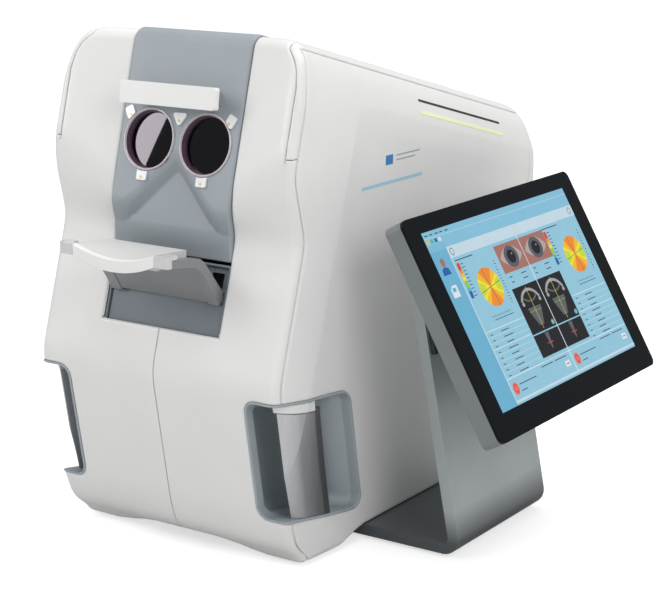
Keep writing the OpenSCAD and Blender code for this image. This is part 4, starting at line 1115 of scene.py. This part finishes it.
# ---- plate under the works
def floor_plate(name, z0, z1, inset, mat, turns=200):
    """Plate that fills the body's outline a little inside the covers."""
    t, soft, mid_y = np.arange(turns) * 2 * np.pi / turns, 0.4, 15
    rings = []
    for z in (z0, z0 + soft, z1 - soft, z1):
        near, far = np.zeros(turns), np.full(turns, 330.0)
        for _ in range(24):
            r = (near + far) / 2
            out = body(r * np.cos(t), mid_y + r * np.sin(t), np.full(turns, float(z))) > -inset
            near, far = np.where(out, near, r), np.where(out, r, far)
        r = near - (soft if z in (z0, z1) else 0)
        rings.append(np.column_stack([r * np.cos(t), mid_y + r * np.sin(t), np.full(turns, z)]))
    faces = [tuple(range(turns - 1, -1, -1)), tuple(range(3 * turns, 4 * turns))]
    faces += [(k * turns + i, k * turns + j, (k + 1) * turns + j, (k + 1) * turns + i)
              for k in range(3) for i, j in ((i, (i + 1) % turns) for i in range(turns))]
    return make_mesh(name, np.vstack(rings), faces, mat, 40)


place(floor_plate("base_plate_skin", 15.3, 18.9, 3.4, MAT["base"]), "unit", "base_steel", "base_plate")


def foot_pod(x, y, z):
    """Low pod under a corner; its underside slopes up on all sides."""
    ax = np.abs(x)
    along = np.interp(y, (-196.5, -190, -181, -174, -140, -128, -116, 166, 172, 184, 222, 230, 236),
                      (11.9, 8, 4.4, 3, 3, 6, 11.9, 11.9, 7, 3, 3, 7, 11.9))
    across = np.interp(ax, (68, 72, 82, 118, 127, 131), (11.9, 9, 3, 3, 7, 11.9))
    under = np.maximum(along, across) - z
    return rmax(rmax(under * 0.85, z - 14.5, 0.6), body(x, y, np.full_like(z, 13.5)) + 1.8, 2)


for sign, word in SIDES:
    for end, y0, y1 in (("front", -202, -112), ("rear", 162, 240)):
        lo, hi = to_side(sign, (64, y0, 1.5), (135, y1, 16.5))
        pod = net_piece("foot_pod_%s_%s" % (end, word), foot_pod, lo, hi, 1.5, MAT["white"])
        place(pod, "unit", "white_cover", *(["foot_pods"] if (sign, end) == (1, "front") else []))
verts, faces = disc(15, 3, 15.1, (0, 0, 0), (0, 0, 1), edge=1.0)
place(make_mesh("foot_middle", verts, faces, MAT["white"], 40), "unit", "white_cover")


# ---- wall behind the chin slide
SLIDE_LEAN = math.atan(CHEST_SLOPE)


def slide_point(x, depth, up):
    """Point of the chin slide's frame: depth into the body, up along the chest."""
    c, k = math.cos(SLIDE_LEAN), math.sin(SLIDE_LEAN)
    return (x, -224 + depth * c + up * k, 216 - depth * k + up * c)


def slotted_plate(name, xs, zs, holes, d0, d1, mat):
    """Closed plate on a grid of cells, left open where the arms' tongues pass."""
    verts, faces, where = [], [], {}

    def vert(i, j, k):
        if (i, j, k) not in where:
            where[i, j, k] = len(verts)
            verts.append(slide_point(xs[i], (d0, d1)[k], zs[j]))
        return where[i, j, k]

    solid = {(i, j) for i in range(len(xs) - 1) for j in range(len(zs) - 1)} - set(holes)
    for i, j in sorted(solid):
        ring = ((i, j), (i + 1, j), (i + 1, j + 1), (i, j + 1))
        faces.append(tuple(vert(*at, 0) for at in ring))
        faces.append(tuple(vert(*at, 1) for at in reversed(ring)))
        for (di, dj), a, b in zip(((0, -1), (1, 0), (0, 1), (-1, 0)), ring, ring[1:] + ring[:1]):
            if (i + di, j + dj) not in solid:
                faces.append((vert(*b, 0), vert(*a, 0), vert(*a, 1), vert(*b, 1)))
    return make_mesh(name, np.array(verts), faces, mat, 30)


wall = slotted_plate("chin_well_wall", (-64.3, -56.8, -43.2, 43.2, 56.8, 64.3),
                     (-37.8, 8.5, 55.5, 60.9), [(1, 1), (3, 1)], 3.4, 4.6, MAT["well"])
place(wall, "unit", "grey_panel")


def window_card():
    """White card reflected in the left window, seen by glossy rays only."""
    eye = np.array(EYE) / MM
    base = np.array([-WINDOW_X, FACE_Y, FACE_Z]) - FACE_N * 6.0
    up = unit(np.array([[0, 0, 1.0]]) - FACE_N * FACE_N[2])[0]
    side = np.cross(up, FACE_N)
    hits = []          # where the two ends of the reflection's edge are seen, 1 m out
    for across, along in ((16.0, 19.0), (-2.5, -22.5)):
        p = base + side * across + up * along
        d = (p - eye) / np.linalg.norm(p - eye)
        hits.append(p + (d - 2 * np.dot(d, FACE_N) * FACE_N) * 1000)
    edge = hits[0] - hits[1]
    left = np.cross(edge, hits[0] - base)
    left *= (-1 if left[0] > 0 else 1) / np.linalg.norm(left)
    a, b = hits[0] + edge * 0.8, hits[1] - edge * 0.8
    me = bpy.data.meshes.new("window_card")
    me.from_pydata([tuple(v * MM) for v in (a, b, b + left * 260, a + left * 260)], [], [(0, 1, 2, 3)])
    m, nt, b = new_material("card_white")
    nt.nodes.remove(b)
    glow = add_node(nt, "Emission", Color=(1.0, 0.97, 1.0, 1), Strength=11.5)
    wire(nt, (glow.outputs[0], nt.nodes["Material Output"].inputs["Surface"]))
    me.materials.append(m)
    card = link(bpy.data.objects.new("window_card", me))
    card.visible_camera = card.visible_diffuse = card.visible_shadow = card.visible_transmission = False


window_card()


# ---- floor
def floor():
    """Pale floor that reads as white paper; its glow is seen by the camera only, so shadows stay."""
    me = bpy.data.meshes.new("floor")
    me.from_pydata([(-9, -9, 0), (9, -9, 0), (9, 9, 0), (-9, 9, 0)], [], [(0, 1, 2, 3)])
    m = material("floor_white", (0.64, 0.64, 0.64), 0.7, mottle=0.004, spec=0.1)
    nt = m.node_tree
    shader, out = nt.nodes["Principled BSDF"], nt.nodes["Material Output"]
    glow = add_node(nt, "Emission", Color=WHITE, Strength=0.63)
    both_shaders, pick, path = (add_node(nt, kind) for kind in ("AddShader", "MixShader", "LightPath"))
    wire(nt, (shader.outputs[0], both_shaders.inputs[0]), (glow.outputs[0], both_shaders.inputs[1]),
         (path.outputs["Is Camera Ray"], pick.inputs["Fac"]), (shader.outputs[0], pick.inputs[1]),
         (both_shaders.outputs[0], pick.inputs[2]), (pick.outputs[0], out.inputs["Surface"]))
    me.materials.append(m)
    link(bpy.data.objects.new("floor", me))


floor()
